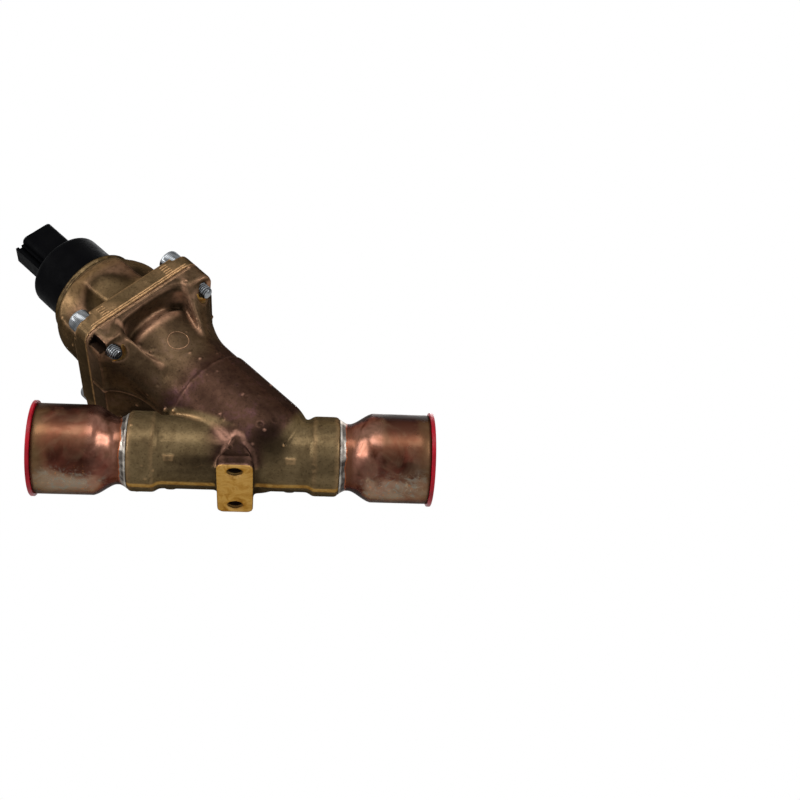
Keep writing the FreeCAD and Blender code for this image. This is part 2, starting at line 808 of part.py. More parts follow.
def cover_screws():
    # Socket head cap screws, their points standing out below the flange.
    head, radius, point = cell("screwHeadRadius"), cell("screwRadius"), cell("screwPoint")
    tail, top = head_seat - cell("screwLength"), head_seat + cell("screwHead")
    soft = cell("screwHeadRound")
    corner = soft * round_share
    screws = []
    for number, (across, aside) in enumerate(screw_places):
        outline = [(0, tail), (radius - point, tail), (radius, tail + point), (radius, head_seat),
                   (head, head_seat), (head, top - soft), Bend(head - corner, top - corner), (head - soft, top),
                   (0, top)]
        blank = on_barrel(turned("ScrewBlank%d" % number, outline), across, aside)
        socket = doc.addObject("Part::Prism", "ScrewSocket%d" % number)
        socket.Polygon = 6
        set_size(socket, "Circumradius", cell("screwSocket") / math.sqrt(3))
        set_size(socket, "Height", cell("screwSocketDepth") + overrun)
        on_barrel(socket, across, aside, top - cell("screwSocketDepth"))
        screws.append(cut("Screw%d" % number, blank, socket))
    keep(grouped("CoverScrews", screws), "cover_screws")


def valve_insert():
    # The throttling seat, the liner that guides the piston, and the liner's rim clamped under the cover.
    seat, port, bevel = cell("seatLevel"), cell("portRadius"), cell("seatBevel")
    keep(on_barrel(turned("SeatRing", [(port, seat), (sleeve_outer, seat), (sleeve_outer, seat_top),
                                       (port + bevel, seat_top), (port, seat_top - bevel)])), "seat_ring")
    shelf, rim = joint - cell("ledgeDepth"), cell("ledgeRadius") - cell("sleeveRimGap")
    start, edge = cell("sleeveStart"), cell("sleeveBevel")
    keep(on_barrel(turned("GuideSleeve", [(sleeve_inner, start), (sleeve_outer - edge, start),
                                          (sleeve_outer, start + edge), (sleeve_outer, shelf), (rim, shelf),
                                          (rim, joint), (sleeve_inner, joint)])), "guide_sleeve")


def piston_group():
    # The piston with its ring, and the nut that the spindle lifts it by.
    tip, edge, body, base = cell("pistonTip"), cell("tipBevel"), piston_radius, piston_base
    step, top = base + cell("pistonStep"), base + cell("pistonLength")
    inside, nut, well = body - cell("pistonWall"), cell("nutRadius"), piston_well
    crown, dip, bore = well + cell("nutLength"), well - cell("pistonWell"), bush_bore + cell("wellGap")
    inner = body - cell("ringDepth")
    band_top = top - cell("ringDrop")
    band = band_top - cell("ringWidth")
    keep(on_barrel(turned("Piston", [(0, base), (tip - edge, base), (tip, base + edge), (tip, step),
                                     (body, step + cell("pistonTaper")), (body, band), (inner, band),
                                     (inner, band_top), (body, band_top), (body, top), (inside, top),
                                     (inside, crown), (nut, crown), (nut, well), (bore, well), (bore, dip),
                                     (0, dip)])), "piston")
    keep(on_barrel(ring("PistonRing", inner, body, band, band_top)), "piston_ring")
    flange, lid = nut + cell("nutFlange"), crown + cell("nutFlangeHeight")
    keep(on_barrel(turned("SpindleNut", [(bush_bore, well), (nut, well), (nut, crown), (flange, crown),
                                         (flange, lid), (bush_bore, lid)])), "spindle_nut")


def rotor_group():
    # The spindle with its thrust collar, and the rotor's hub and magnet on it.
    shaft, bevel = cell("spindleRadius"), cell("spindleBevel")
    start = piston_well - cell("pistonWell") + cell("pistonLift") + cell("spindleGap")
    collar, low = shaft + cell("spindleCollar"), bush_top + cell("thrustGap")
    high, journal = low + cell("spindleCollarHeight"), cell("journalRadius")
    tip = upper_bush_end - cell("journalGap")
    keep(on_barrel(turned("Spindle", [(0, start), (shaft - bevel, start), (shaft, start + bevel), (shaft, low),
                                      (collar, low), (collar, high), (shaft, high), (shaft, rotor_end),
                                      (journal, rotor_end), (journal, tip), (0, tip)])), "spindle")
    inset, bore = cell("magnetInset"), cell("magnetBore")
    keep(on_barrel(ring("RotorHub", shaft, bore, rotor_start, rotor_end)), "rotor_hub")
    magnet = bevelled_ring("RotorMagnet", bore, cell("magnetRadius"), rotor_start + inset, rotor_end - inset,
                           cell("magnetBevel"))
    keep(on_barrel(magnet), "rotor_magnet")


def bearings():
    # The flanged bush in the cover that carries the thrust collar, and the bush in the top of the can.
    body = cell("coverHole") - cell("bushFit")
    flange, low = body + cell("bushFlange"), joint + overrun
    keep(on_barrel(turned("LowerBush", [(bush_bore, low), (body, low), (body, plate_top), (flange, plate_top),
                                        (flange, bush_top), (bush_bore, bush_top)])), "lower_bush")
    bore = cell("journalRadius") + cell("runningFit")
    upper = ring("UpperBush", bore, cell("canRadius") - cell("canWall"), upper_bush_start, upper_bush_end)
    keep(on_barrel(upper), "upper_bush")


def can_and_stator():
    # The thin pressure can, and around it the stator: a spacer, two coils and the claw poles that hold them.
    can, wall, soft, foot = cell("canRadius"), cell("canWall"), cell("canRound"), cell("canFlangeHeight")
    inside, top, flange = can - wall, can_top, cell("canFlange")
    ledge, corner = plate_top + foot, soft * round_share
    outline = [(inside, plate_top), (flange, plate_top), (flange, ledge), (can + soft, ledge),
               Bend(can + corner, ledge + corner), (can, ledge + soft), (can, top - soft),
               Bend(can - corner, top - corner), (can - soft, top), (0, top), (0, top - wall),
               (inside, top - wall)]
    keep(on_barrel(turned("RotorCan", outline)), "rotor_can")
    coil, stator, tin = cell("coilRadius"), cell("statorRadius"), cell("poleSheet")
    slot = coil + cell("coilGap")
    coils, poles = [], []
    for number in range(2):
        low = rotor_start + coil_length * number
        high = low + coil_length
        winding = ring("Coil%d" % number, stator_bore + cell("coilBobbin"), coil, low + tin, high - tin)
        coils.append(on_barrel(winding))
        outline = [(stator_bore, low), (stator, low), (stator, high), (stator_bore, high),
                   (stator_bore, high - tin), (slot, high - tin), (slot, low + tin), (stator_bore, low + tin)]
        poles.append(on_barrel(turned("Pole%d" % number, outline)))
    keep(grouped("StatorCoils", coils), "stator_coils")
    keep(grouped("StatorPoles", poles), "stator_poles")
    spacer = ring("StatorSpacer", stator_bore + cell("spacerGap"), stator, bush_top, rotor_start)
    keep(on_barrel(spacer), "stator_spacer")


def cap_shell():
    # The cap's cup: a skirt inside the bonnet with a groove for its seal, a foot in the bead, a round top.
    radius, skirt, bore = cell("capRadius"), cell("capSkirtRadius"), cell("capBore")
    start, sole = bonnet_top - cell("capSkirtLength"), cap_foot + cell("capSeat")
    foot, instep = cell("capFootRadius"), sole + cell("capFootHeight")
    bend, side = cell("capRound"), cell("capRadius") - cell("capDraft")
    seal, middle = cell("sealRadius"), start + cell("capSealRise")
    half = seal * cell("sealGrooveShare")
    groove = cap_seal_radius - seal - cell("sealGap")
    corner = bend * round_share
    low, high = middle - half, middle + half
    return on_barrel(turned("CapShell", [(bore, start), (skirt, start), (skirt, low), (groove, low),
                                         (groove, high), (skirt, high), (skirt, sole), (foot, sole),
                                         (foot, instep), (radius, instep), (side, cap_end - bend),
                                         Bend(side - corner, cap_end - corner), (side - bend, cap_end),
                                         (0, cap_end), (0, cap_roof), (bore, cap_roof)]))


def latch_rail():
    # The rail beside the shroud that a plug's latch hooks over, with a groove down each side.
    half, shift = cell("latchWidth") / 2, cell("connectorShift") - cell("connectorWidth") / 2
    far, near = shift - cell("latchReach"), shift + cell("connectorWall") / 2
    slit, dig = cell("latchGroove") / 2, half - cell("latchGrooveDepth")
    middle = (far + shift) / 2
    outline = [(far, -half), (middle - slit, -half), (middle - slit, -dig), (middle + slit, -dig),
               (middle + slit, -half), (near, -half), (near, half), (middle + slit, half), (middle + slit, dig),
               (middle - slit, dig), (middle - slit, half), (far, half)]
    length = cell("connectorLength") - cell("latchDrop") + overrun
    rail = extruded("LatchRail", lambda sketch: draw_outline(sketch, outline), length, cap_end - overrun)
    return on_barrel(rail)


def motor_cap():
    # The plastic cap over the motor, with the connector shroud moulded on its end and four pins in its roof.
    width, depth, shift = cell("connectorWidth") / 2, cell("connectorDepth") / 2, cell("connectorShift")
    corner, wall = cell("connectorCorner"), cell("connectorWall")
    shroud = extruded("Shroud", lambda sketch: draw_rounded(sketch, width, depth, corner, shift),
                      cell("connectorLength") + overrun, cap_end - overrun)
    solid = fused("CapSolid", [cap_shell(), on_barrel(shroud), latch_rail()])
    floor = connector_end - cell("socketLength")
    inside = (width - wall, depth - wall, corner - wall)
    socket = extruded("ShroudSocket", lambda sketch: draw_rounded(sketch, *inside, shift),
                      cell("socketLength") + overrun, floor)
    tools, pins = [on_barrel(socket)], []
    pitch, radius, low = cell("pinPitch") / 2, cell("pinRadius"), cap_roof - cell("pinRoot")
    tip = floor + cell("pinReach")
    for number, (i, j) in enumerate(((1, 1), (-1, 1), (-1, -1), (1, -1))):
        hole = cylinder("PinHole%d" % number, radius + cell("pinFit"), floor - low + overrun * 2)
        tools.append(on_barrel(hole, shift + pitch * i, pitch * j, low - overrun))
        pin = turned("Pin%d" % number, [(0, low), (radius, low), (radius, tip - cell("pinPoint")),
                                        (radius / 2, tip), (0, tip)])
        pins.append(on_barrel(pin, shift + pitch * i, pitch * j))
    keep(cut("MotorCap", solid, fused("CapHollows", tools)), "motor_cap")
    keep(grouped("ConnectorPins", pins), "connector_pins")


def seals():
    # The O-rings of the cap and of the bolted joint, each in the middle of its groove.
    seal = cell("sealRadius")
    level = bonnet_top - cell("capSkirtLength") + cell("capSealRise")
    keep(torus("CapSeal", cap_seal_radius, seal, level), "cap_seal")
    keep(torus("CoverSeal", cell("sealGrooveRadius"), seal, joint + seal + cell("sealGap")), "cover_seal")


valve_body()
run_ends()
cover()
cover_screws()
valve_insert()
piston_group()
rotor_group()
bearings()
can_and_stator()
motor_cap()
seals()

doc.recompute()

for item in doc.Objects:
    if "Invalid" in item.State or "Error" in item.State:
        raise RuntimeError("failed object: %s %s" % (item.Name, item.State))
for piece in parts:
    shape = piece.Shape
    if shape.isNull() or not shape.isValid() or not shape.Solids:
        raise RuntimeError("bad shape: " + piece.Label)

os.makedirs("parts", exist_ok=True)
for piece in parts:
    piece.Shape.exportStep("parts/%s.step" % piece.Label)
    print("%-18s solids %d  volume %.1f mm3" % (piece.Label, len(piece.Shape.Solids), piece.Shape.Volume))
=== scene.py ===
import json
import math
import random

import bpy
from mathutils import Matrix, Vector, kdtree, noise


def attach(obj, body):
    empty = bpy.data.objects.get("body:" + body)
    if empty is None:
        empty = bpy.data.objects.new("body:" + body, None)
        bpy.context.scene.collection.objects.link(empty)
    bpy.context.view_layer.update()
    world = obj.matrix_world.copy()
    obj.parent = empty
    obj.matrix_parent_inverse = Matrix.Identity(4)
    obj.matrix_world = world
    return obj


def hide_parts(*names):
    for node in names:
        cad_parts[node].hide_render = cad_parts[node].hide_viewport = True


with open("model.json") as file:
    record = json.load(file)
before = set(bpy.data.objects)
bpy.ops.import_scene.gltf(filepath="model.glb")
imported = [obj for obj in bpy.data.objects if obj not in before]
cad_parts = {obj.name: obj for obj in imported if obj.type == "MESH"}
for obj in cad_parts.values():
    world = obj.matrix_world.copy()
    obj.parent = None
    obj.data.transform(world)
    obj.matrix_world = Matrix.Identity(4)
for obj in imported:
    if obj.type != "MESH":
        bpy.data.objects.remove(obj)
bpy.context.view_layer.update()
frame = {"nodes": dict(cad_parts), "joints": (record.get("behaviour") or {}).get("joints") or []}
nodes = frame["nodes"]
mm = 0.001

# The barrel's own frame: X across it in the plane of symmetry, Y the row's Y, Z up its axis.
turning = next(joint for joint in frame["joints"] if joint["name"] == "rotor_turn")
barrelUp = Vector(turning["axis"])
barrelAside = Vector((0, 1, 0))
barrelAcross = barrelAside.cross(barrelUp)
barrelFrame = Matrix((barrelAcross, barrelAside, barrelUp)).transposed().to_4x4()
barrelFrame.translation = Vector(turning["pos_m"])
intoBarrel = barrelFrame.inverted()

# Sizes shared by several pieces, in millimetres. Levels are heights along the barrel's axis.
shared = {"pipeHeight": 17.5, "plateTop": 92.0, "flangeHalf": 31.2, "screwOffset": 25.0, "headSeat": 90.3,
          "spotFace": 71.4, "spotFaceRadius": 4.85, "bonnetTop": 120.8, "padHole": 13.0}
screwSides = ((1, 1), (-1, 1), (-1, -1), (1, -1))
screwPlaces = [(i * shared["screwOffset"], j * shared["screwOffset"]) for i, j in screwSides]


def onBarrel(across, aside, level):
    # A place given in millimetres in the barrel's frame, in the row's frame.
    return barrelFrame @ Vector((across * mm, aside * mm, level * mm))


def barrelPlace(place):
    # Across, aside, level and distance from the axis, in millimetres.
    local = (intoBarrel @ place) / mm
    return local.x, local.y, local.z, math.hypot(local.x, local.y)


def ease(low, high, value):
    share = min(max((value - low) / (high - low), 0.0), 1.0)
    return share * share * (3 - 2 * share)


def deselectAll():
    if bpy.context.object and bpy.context.object.mode != "OBJECT":
        bpy.ops.object.mode_set(mode="OBJECT")
    bpy.ops.object.select_all(action="DESELECT")


def takeUp(piece):
    # Makes this piece the only selected and active one.
    deselectAll()
    piece.select_set(True)
    bpy.context.view_layer.objects.active = piece
    return piece


def applied(piece, kind, **settings):
    takeUp(piece)
    modifier = piece.modifiers.new(kind.title(), kind)
    for name, value in settings.items():
        setattr(modifier, name, value)
    bpy.ops.object.modifier_apply(modifier=modifier.name)
    return piece


def settle(piece, matrix=None):
    # Moves the piece's place into its mesh, so that its object sits at the origin.
    if matrix is not None:
        piece.matrix_world = matrix @ piece.matrix_world
    takeUp(piece)
    bpy.ops.object.transform_apply(location=True, rotation=True, scale=True)
    return piece


def smoothShade(piece, angle=40):
    takeUp(piece)
    bpy.ops.object.shade_smooth_by_angle(angle=math.radians(angle))
    return piece


def joined(name, pieces):
    deselectAll()
    for piece in pieces:
        piece.select_set(True)
    bpy.context.view_layer.objects.active = pieces[0]
    if len(pieces) > 1:
        bpy.ops.object.join()
    pieces[0].name = name
    return pieces[0]


def mergedCopy(name, node):
    # A copy of a CAD node's mesh with its loose triangles joined.
    piece = bpy.data.objects.new(name, nodes[node].data.copy())
    bpy.context.scene.collection.objects.link(piece)
    piece.data.materials.clear()
    takeUp(piece)
    bpy.ops.mesh.customdata_custom_splitnormals_clear()
    bpy.ops.object.mode_set(mode="EDIT")
    bpy.ops.mesh.select_all(action="SELECT")
    bpy.ops.mesh.remove_doubles(threshold=1e-6)
    bpy.ops.object.mode_set(mode="OBJECT")
    return piece


def weigh(piece, name, share):
    # A vertex group whose weight is share(place), for modifiers that act on a part of the piece.
    group = piece.vertex_groups.new(name=name)
    for vertex in piece.data.vertices:
        group.add([vertex.index], share(vertex.co), "REPLACE")
    return name


def carve(piece, tools):
    # Cuts the tools' shapes out of the piece and removes the tools.
    tool = joined("carving_tool", tools)
    applied(piece, "BOOLEAN", operation="DIFFERENCE", object=tool, solver="EXACT")
    bpy.data.objects.remove(tool)
    return piece


def lathe(name, outline, matrix=None, sides=64):
    # A solid of revolution about its Z from a closed outline of (radius, height) corners in millimetres.
    deselectAll()
    bpy.ops.mesh.primitive_circle_add(vertices=len(outline), radius=mm, fill_type="NOTHING")
    piece = bpy.context.object
    piece.name = name
    for vertex, (radius, height) in zip(piece.data.vertices, outline):
        vertex.co = (radius * mm, 0, height * mm)
    bpy.ops.object.mode_set(mode="EDIT")
    bpy.ops.mesh.select_all(action="SELECT")
    bpy.ops.mesh.spin(steps=sides, angle=math.tau, center=(0, 0, 0), axis=(0, 0, 1))
    bpy.ops.mesh.select_all(action="SELECT")
    bpy.ops.mesh.remove_doubles(threshold=1e-6)
    bpy.ops.mesh.dissolve_degenerate(threshold=1e-7)
    bpy.ops.mesh.normals_make_consistent(inside=False)
    bpy.ops.object.mode_set(mode="OBJECT")
    return settle(piece, matrix)


def block(name, size, centre, matrix=None):
    # A box from its size and centre in millimetres.
    deselectAll()
    bpy.ops.mesh.primitive_cube_add(size=1, location=[value * mm for value in centre])
    piece = bpy.context.object
    piece.name = name
    piece.scale = [value * mm for value in size]
    settle(piece)
    return settle(piece, matrix) if matrix is not None else piece


def pill(name, centre, radii):
    # An ellipsoid from its centre and three radii in millimetres.
    deselectAll()
    bpy.ops.mesh.primitive_uv_sphere_add(segments=32, ring_count=16, radius=1,
                                         location=[value * mm for value in centre])
    piece = bpy.context.object
    piece.name = name
    piece.scale = [value * mm for value in radii]
    return settle(piece)


def drill(name, radius, bottom, top, across, aside):
    # A plain cylinder along the barrel.
    tool = lathe(name, [(0, bottom), (radius, bottom), (radius, top), (0, top)])
    return settle(tool, barrelFrame @ Matrix.Translation((across * mm, aside * mm, 0)))


def paint(piece, shares):
    # Four shares for each vertex, which the materials read: on castings heat tint, painted shade with the
    # dark joint lines, painted highlight with some rubbed wear, and machined.
    layer = piece.data.attributes.new("surfaceDetail", "FLOAT_COLOR", "POINT")
    for vertex in piece.data.vertices:
        layer.data[vertex.index].color = shares(vertex.co, vertex.normal)
    return piece


def ride(piece, look, body="housing"):
    # The last step of each new piece: its material and the body that it moves with.
    piece.data.materials.clear()
    piece.data.materials.append(look)
    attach(piece, body)
    return piece


def shade(code):
    # A colour written as in a paint program, such as "8a5a3c".
    values = [int(code[index:index + 2], 16) / 255 for index in (0, 2, 4)]
    linear = [value / 12.92 if value < 0.04045 else ((value + 0.055) / 1.055) ** 2.4 for value in values]
    return tuple(linear) + (1,)


class Look:
    # A material being painted. Each method adds one node and returns what comes out of it.
    def __init__(self, name, metallic, roughness, specular=0.5, edge="ffffff"):
        self.material = bpy.data.materials.new(name)
        self.material.use_nodes = True
        self.tree = self.material.node_tree
        self.shader = self.tree.nodes["Principled BSDF"]
        self.put(self.shader.inputs["Metallic"], metallic)
        self.put(self.shader.inputs["Roughness"], roughness)
        self.put(self.shader.inputs["Specular IOR Level"], specular)
        self.put(self.shader.inputs["Specular Tint"], shade(edge))
        self.place = self.add("ShaderNodeTexCoord").outputs["Object"]

    def put(self, socket, value):
        if isinstance(value, bpy.types.NodeSocket):
            self.tree.links.new(value, socket)
        else:
            socket.default_value = value

    def add(self, kind, values=(), **settings):
        node = self.tree.nodes.new(kind)
        for name, value in settings.items():
            setattr(node, name, value)
        for name, value in dict(values).items():
            self.put(node.inputs[name], value)
        return node

    def moved(self, step, scale=(1, 1, 1)):
        # The same pattern somewhere else, so that two layers don't follow each other.
        values = {"Vector": self.place, "Location": (step, step * 0.7, -step), "Scale": scale}
        return self.add("ShaderNodeMapping", values).outputs["Vector"]

    def grain(self, size, detail=4, rough=0.55, warp=0, place=None):
        # Noise whose blotches are about size millimetres across.
        values = {"Vector": place or self.place, "Scale": 1 / (size * mm), "Detail": detail,
                  "Roughness": rough, "Distortion": warp}
        return self.add("ShaderNodeTexNoise", values).outputs["Fac"]

    def cells(self, size, place):
        values = {"Vector": place, "Scale": 1 / (size * mm)}
        return self.add("ShaderNodeTexVoronoi", values, feature="F1").outputs["Distance"]

    def span(self, source, low, high, bottom=0, top=1):
        values = {"Value": source, "From Min": low, "From Max": high, "To Min": bottom, "To Max": top}
        return self.add("ShaderNodeMapRange", values).outputs["Result"]

    def along(self, axis):
        return self.add("ShaderNodeSeparateXYZ", {"Vector": self.place}).outputs[axis]

    def painted(self):
        # The four shares that paint() stored.
        layer = self.add("ShaderNodeAttribute", attribute_name="surfaceDetail")
        parts = self.add("ShaderNodeSeparateColor", {"Color": layer.outputs["Color"]}).outputs
        return parts[0], parts[1], parts[2], layer.outputs["Alpha"]

    def math(self, operation, first, second=0.5):
        node = self.add("ShaderNodeMath", operation=operation)
        self.put(node.inputs[0], first)
        self.put(node.inputs[1], second)
        return node.outputs[0]

    def ramp(self, source, stops):
        node = self.add("ShaderNodeValToRGB", {"Fac": source})
        while len(node.color_ramp.elements) < len(stops):
            node.color_ramp.elements.new(0.5)
        for element, (position, code) in zip(node.color_ramp.elements, stops):
            element.position = position
            element.color = shade(code)
        return node.outputs["Color"]

    def mix(self, factor, first, second, blend="MIX"):
        node = self.add("ShaderNodeMix", data_type="RGBA", blend_type=blend)
        self.put(node.inputs[0], factor)
        for socket, value in zip(node.inputs[6:8], (first, second)):
            self.put(socket, shade(value) if isinstance(value, str) else value)
        return node.outputs[2]

    def ridgeShare(self, low=0.505, high=0.56):
        # From 0 in hollows to 1 on ridges.
        return self.span(self.add("ShaderNodeNewGeometry").outputs["Pointiness"], low, high)

    def colour(self, value):
        self.put(self.shader.inputs["Base Color"], value)

    def gloss(self, source, low, high):
        self.put(self.shader.inputs["Roughness"], self.span(source, 0.3, 0.7, low, high))

    def bump(self, height, depth, strength=1.0):
        # Depth is in millimetres.
        values = {"Height": height, "Distance": depth * mm, "Strength": strength}
        if self.shader.inputs["Normal"].is_linked:
            values["Normal"] = self.shader.inputs["Normal"].links[0].from_socket
        self.put(self.shader.inputs["Normal"], self.add("ShaderNodeBump", values).outputs["Normal"])


def castingLook(name, cool, warm, cutTones, shadeAndSpeckTone="140d09", highlightAndWearTone="a8845e", warmHighlightAndWearTone="a27866", metallic=0.5):
    look = Look(name, metallic, 0.4, 0.0, "2c241e")
    heat, shadeAndJoints, highlightAndRub, cut = look.painted()
    broad = look.grain(15, 6, 0.62, 0.8)
    fine = look.grain(2.6, 5, 0.65, 0.5, look.moved(0.03))
    mottle = look.math("ADD", look.math("MULTIPLY", broad, 0.6), look.math("MULTIPLY", fine, 0.4))
    colour = look.mix(heat, look.ramp(mottle, cool), look.ramp(mottle, warm))
    specks = look.span(look.grain(0.9, 3, 0.6, 0, look.moved(0.05)), 0.56, 0.68)
    colour = look.mix(look.math("MULTIPLY", specks, 0.45), colour, shadeAndSpeckTone)
    # Painted shade: the second share darkens the colour in hollows, recesses and on faces turned from the
    # lamps, and along the real dark joint lines.
    colour = look.mix(look.math("MULTIPLY", shadeAndJoints, 0.96), colour, shadeAndSpeckTone)
    # Painted highlight: the third share and the ridges lighten the colour to a pale tone, pinker on heat
    # tint; on ridges this is partly edge wear. It fades out where painted shade is deep.
    bright = look.math("MAXIMUM", highlightAndRub, look.math("MULTIPLY", look.ridgeShare(), 0.7))
    bright = look.math("MULTIPLY", bright, look.span(fine, 0.3, 0.55, 0.35, 1))
    bright = look.math("MULTIPLY", bright, look.span(shadeAndJoints, 0.85, 0.98, 1, 0))
    colour = look.mix(bright, colour, look.mix(heat, highlightAndWearTone, warmHighlightAndWearTone))
    stains = look.grain(5, 5, 0.65, 0.8, look.moved(0.02))
    colour = look.mix(cut, colour, look.ramp(stains, cutTones))
    look.colour(colour)
    look.put(look.shader.inputs["Metallic"], look.span(cut, 0, 1, metallic, 0.75))
    look.gloss(look.grain(5, 4), 0.27, 0.42)
    skin = look.math("MULTIPLY", look.grain(0.7, 4, 0.6), look.span(cut, 0, 1, 1, 0.25))
    look.bump(skin, 0.07, 0.7)
    look.bump(look.span(look.cells(2.2, look.moved(0.01)), 0.0, 0.25), 0.05, 0.5)
    return look.material


padTones = [(0.3, "86602f"), (0.44, "a0783e"), (0.56, "b28c50"), (0.7, "a27c44")]
castLook = castingLook(
    "cast_bronze_patina_and_painted_light",
    [(0.28, "3c3021"), (0.42, "4e402c"), (0.54, "5c4d36"), (0.66, "66563e"), (0.8, "726044")],
    [(0.28, "251813"), (0.42, "31211a"), (0.52, "39281f"), (0.6, "3f2b27"), (0.7, "463031"),
     (0.82, "4c3629")],
    padTones)
coverLook = castingLook(
    "cover_bronze_patina_and_painted_light",
    [(0.28, "34291c"), (0.42, "423523"), (0.54, "4b3c29"), (0.7, "584832")],
    [(0.3, "251b12"), (0.48, "322619"), (0.7, "3e3021")],
    [(0.34, "362b1e"), (0.5, "4c3e2a"), (0.66, "66543b")])


def machinedLook(name, tones):
    look = Look(name, 0.8, 0.3)
    look.colour(look.ramp(look.grain(5, 4, 0.6, 0.4), tones))
    look.gloss(look.grain(3), 0.24, 0.42)
    look.bump(look.grain(0.25, 2, 0.5, 0, look.moved(0.01, (1, 1, 8))), 0.02, 0.4)
    return look.material


brassLook = machinedLook("turned_brass", [(0.3, "9c7a3a"), (0.5, "b8954e"), (0.7, "c8a65c")])
steelLook = machinedLook("ground_steel", [(0.3, "8c8f92"), (0.5, "a4a7a9"), (0.7, "b4b6b8")])


# The copper's colour by height, from its lowest line (0) to its highest (1): oxide tones with painted
# reflection bands, lighter at the bottom, a dark band just above, lighter round the middle and darker at the
# top.
oxideAndReflectionBands = [(0.03, "857462"), (0.075, "725a48"), (0.12, "3e231a"), (0.2, "2c1610"), (0.28, "3a1f16"),
             (0.37, "543224"), (0.46, "583828"), (0.57, "4e3023"), (0.68, "482c22"), (0.8, "3c251c"),
             (0.95, "2e1c17")]


def copperLook():
    look = Look("copper_oxide_painted_reflection", 0.8, 0.32, 0.08, "4a342c")
    level = look.math("ADD", look.along("Z"), look.math("MULTIPLY", look.grain(14, 3, 0.5, 1.2), 0.006))
    colour = look.ramp(look.span(level, 0, 0.036), oxideAndReflectionBands)
    pink = look.span(look.grain(14, 4, 0.55, 0.8, look.moved(0.06)), 0.46, 0.7)
    colour = look.mix(look.math("MULTIPLY", pink, 0.3), colour, "86483a")
    tan = look.span(look.grain(11, 4, 0.55, 0.8, look.moved(0.03)), 0.48, 0.7)
    colour = look.mix(look.math("MULTIPLY", tan, 0.3), colour, "7c6650")
    belly = look.span(level, 0.0065, 0.002, 0.0, 0.8)
    grey = look.span(look.grain(5, 7, 0.7, 1.4, look.moved(0.09)), 0.5, 0.64)
    colour = look.mix(look.math("MULTIPLY", grey, belly), colour, "77756a")
    cream = look.span(look.grain(2.5, 7, 0.72, 1.5, look.moved(0.12)), 0.58, 0.67)
    colour = look.mix(look.math("MULTIPLY", cream, belly), colour, "a08c72")
    specks = look.span(look.grain(1.2, 3, 0.6, 0.5, look.moved(0.18)), 0.62, 0.7)
    colour = look.mix(look.math("MULTIPLY", specks, look.math("MULTIPLY", belly, 0.8)), colour, "a8683a")
    reach = look.math("ABSOLUTE", look.along("X"))
    ragged = look.math("ADD", reach, look.math("MULTIPLY", look.grain(4, 4), 0.006))
    burnt = look.span(ragged, 0.056, 0.051, 0, 0.6)
    colour = look.mix(burnt, colour, "5e3c2c")
    bend = look.math("MULTIPLY", look.span(reach, 0.048, 0.05), look.span(reach, 0.062, 0.057))
    # Painted highlight: the tapers' upper parts lighten to a pale pink.
    taperHighlight = look.math("MULTIPLY", bend, look.span(look.grain(7, 4, 0.6, 0.8, look.moved(0.21)), 0.36, 0.6))
    above = look.span(level, 0.008, 0.012, 0.15, 0.5)
    colour = look.mix(look.math("MULTIPLY", taperHighlight, above), colour, "9c7060")
    ragged = look.math("ADD", reach, look.math("MULTIPLY", look.grain(6, 4), 0.008))
    rim = look.span(ragged, 0.079, 0.086, 0, 0.5)
    colour = look.mix(rim, colour, "685438")
    look.colour(colour)
    shine = look.math("SUBTRACT", look.grain(9, 6, 0.65, 1.5), look.math("MULTIPLY", bend, 0.5))
    look.gloss(shine, 0.24, 0.42)
    look.bump(look.grain(0.8, 5, 0.65), 0.02, 0.5)
    look.bump(look.grain(12, 2, 0.4), 0.3, 0.6)
    return look.material


def brazeLook():
    # The first painted value runs from the collar (0) to the copper (1).
    look = Look("silver_braze", 0.65, 0.32, 0.3, "8a8078")
    reach = look.painted()[0]
    around = look.span(look.grain(6, 3, 0.5, 0.6), 0.4, 0.6)
    colour = look.mix(around, "3a3431", "857f78")
    # Painted highlight: the braze lightens near the collar.
    bright = look.span(reach, 0.34, 0.2)
    colour = look.mix(look.math("MULTIPLY", bright, look.span(around, 0, 1, 0.35, 0.9)), colour, "c4beb4")
    edge = look.span(look.math("ADD", reach, look.math("MULTIPLY", look.grain(1.5, 4), 0.3)), 0.9, 1.02)
    look.colour(look.mix(edge, colour, "7a4022"))
    look.gloss(look.grain(2, 4), 0.22, 0.44)
    look.bump(look.grain(1.6, 3, 0.5), 0.06, 0.5)
    return look.material


def plugLook():
    look = Look("red_plug", 0.0, 0.35, 0.15)
    look.colour(look.ramp(look.grain(7, 3), [(0.3, "740412"), (0.7, "94091b")]))
    look.bump(look.grain(0.9, 2), 0.02, 0.4)
    return look.material


def blackLook(name, low="020203", high="050506", roughness=0.5, specular=0.012):
    look = Look(name, 0.0, roughness, specular)
    look.colour(look.ramp(look.grain(9, 4), [(0.35, low), (0.65, high)]))
    look.gloss(look.grain(3), roughness - 0.08, roughness + 0.1)
    look.bump(look.grain(0.35, 3), 0.015, 0.5)
    return look.material


def zincLook():
    # The first painted value is painted shade by depth: between the threads, in the knurl and in the socket.
    look = Look("bright_zinc", 0.9, 0.24, 0.4, "a0a0a0")
    depthShade = look.painted()[0]
    tones = [(0.34, "5a5e61"), (0.5, "7b7e81"), (0.64, "94979a"), (0.76, "827c70")]
    colour = look.ramp(look.grain(5, 3, 0.5, 0.4), tones)
    grime = look.math("MULTIPLY", look.span(look.grain(1.5, 4, 0.6, 0, look.moved(0.03)), 0.54, 0.68), 0.4)
    look.colour(look.mix(look.math("MAXIMUM", depthShade, grime), colour, "1c1a19"))
    look.gloss(look.grain(2.5), 0.16, 0.34)
    look.bump(look.grain(0.5, 3), 0.01, 0.4)
    return look.material


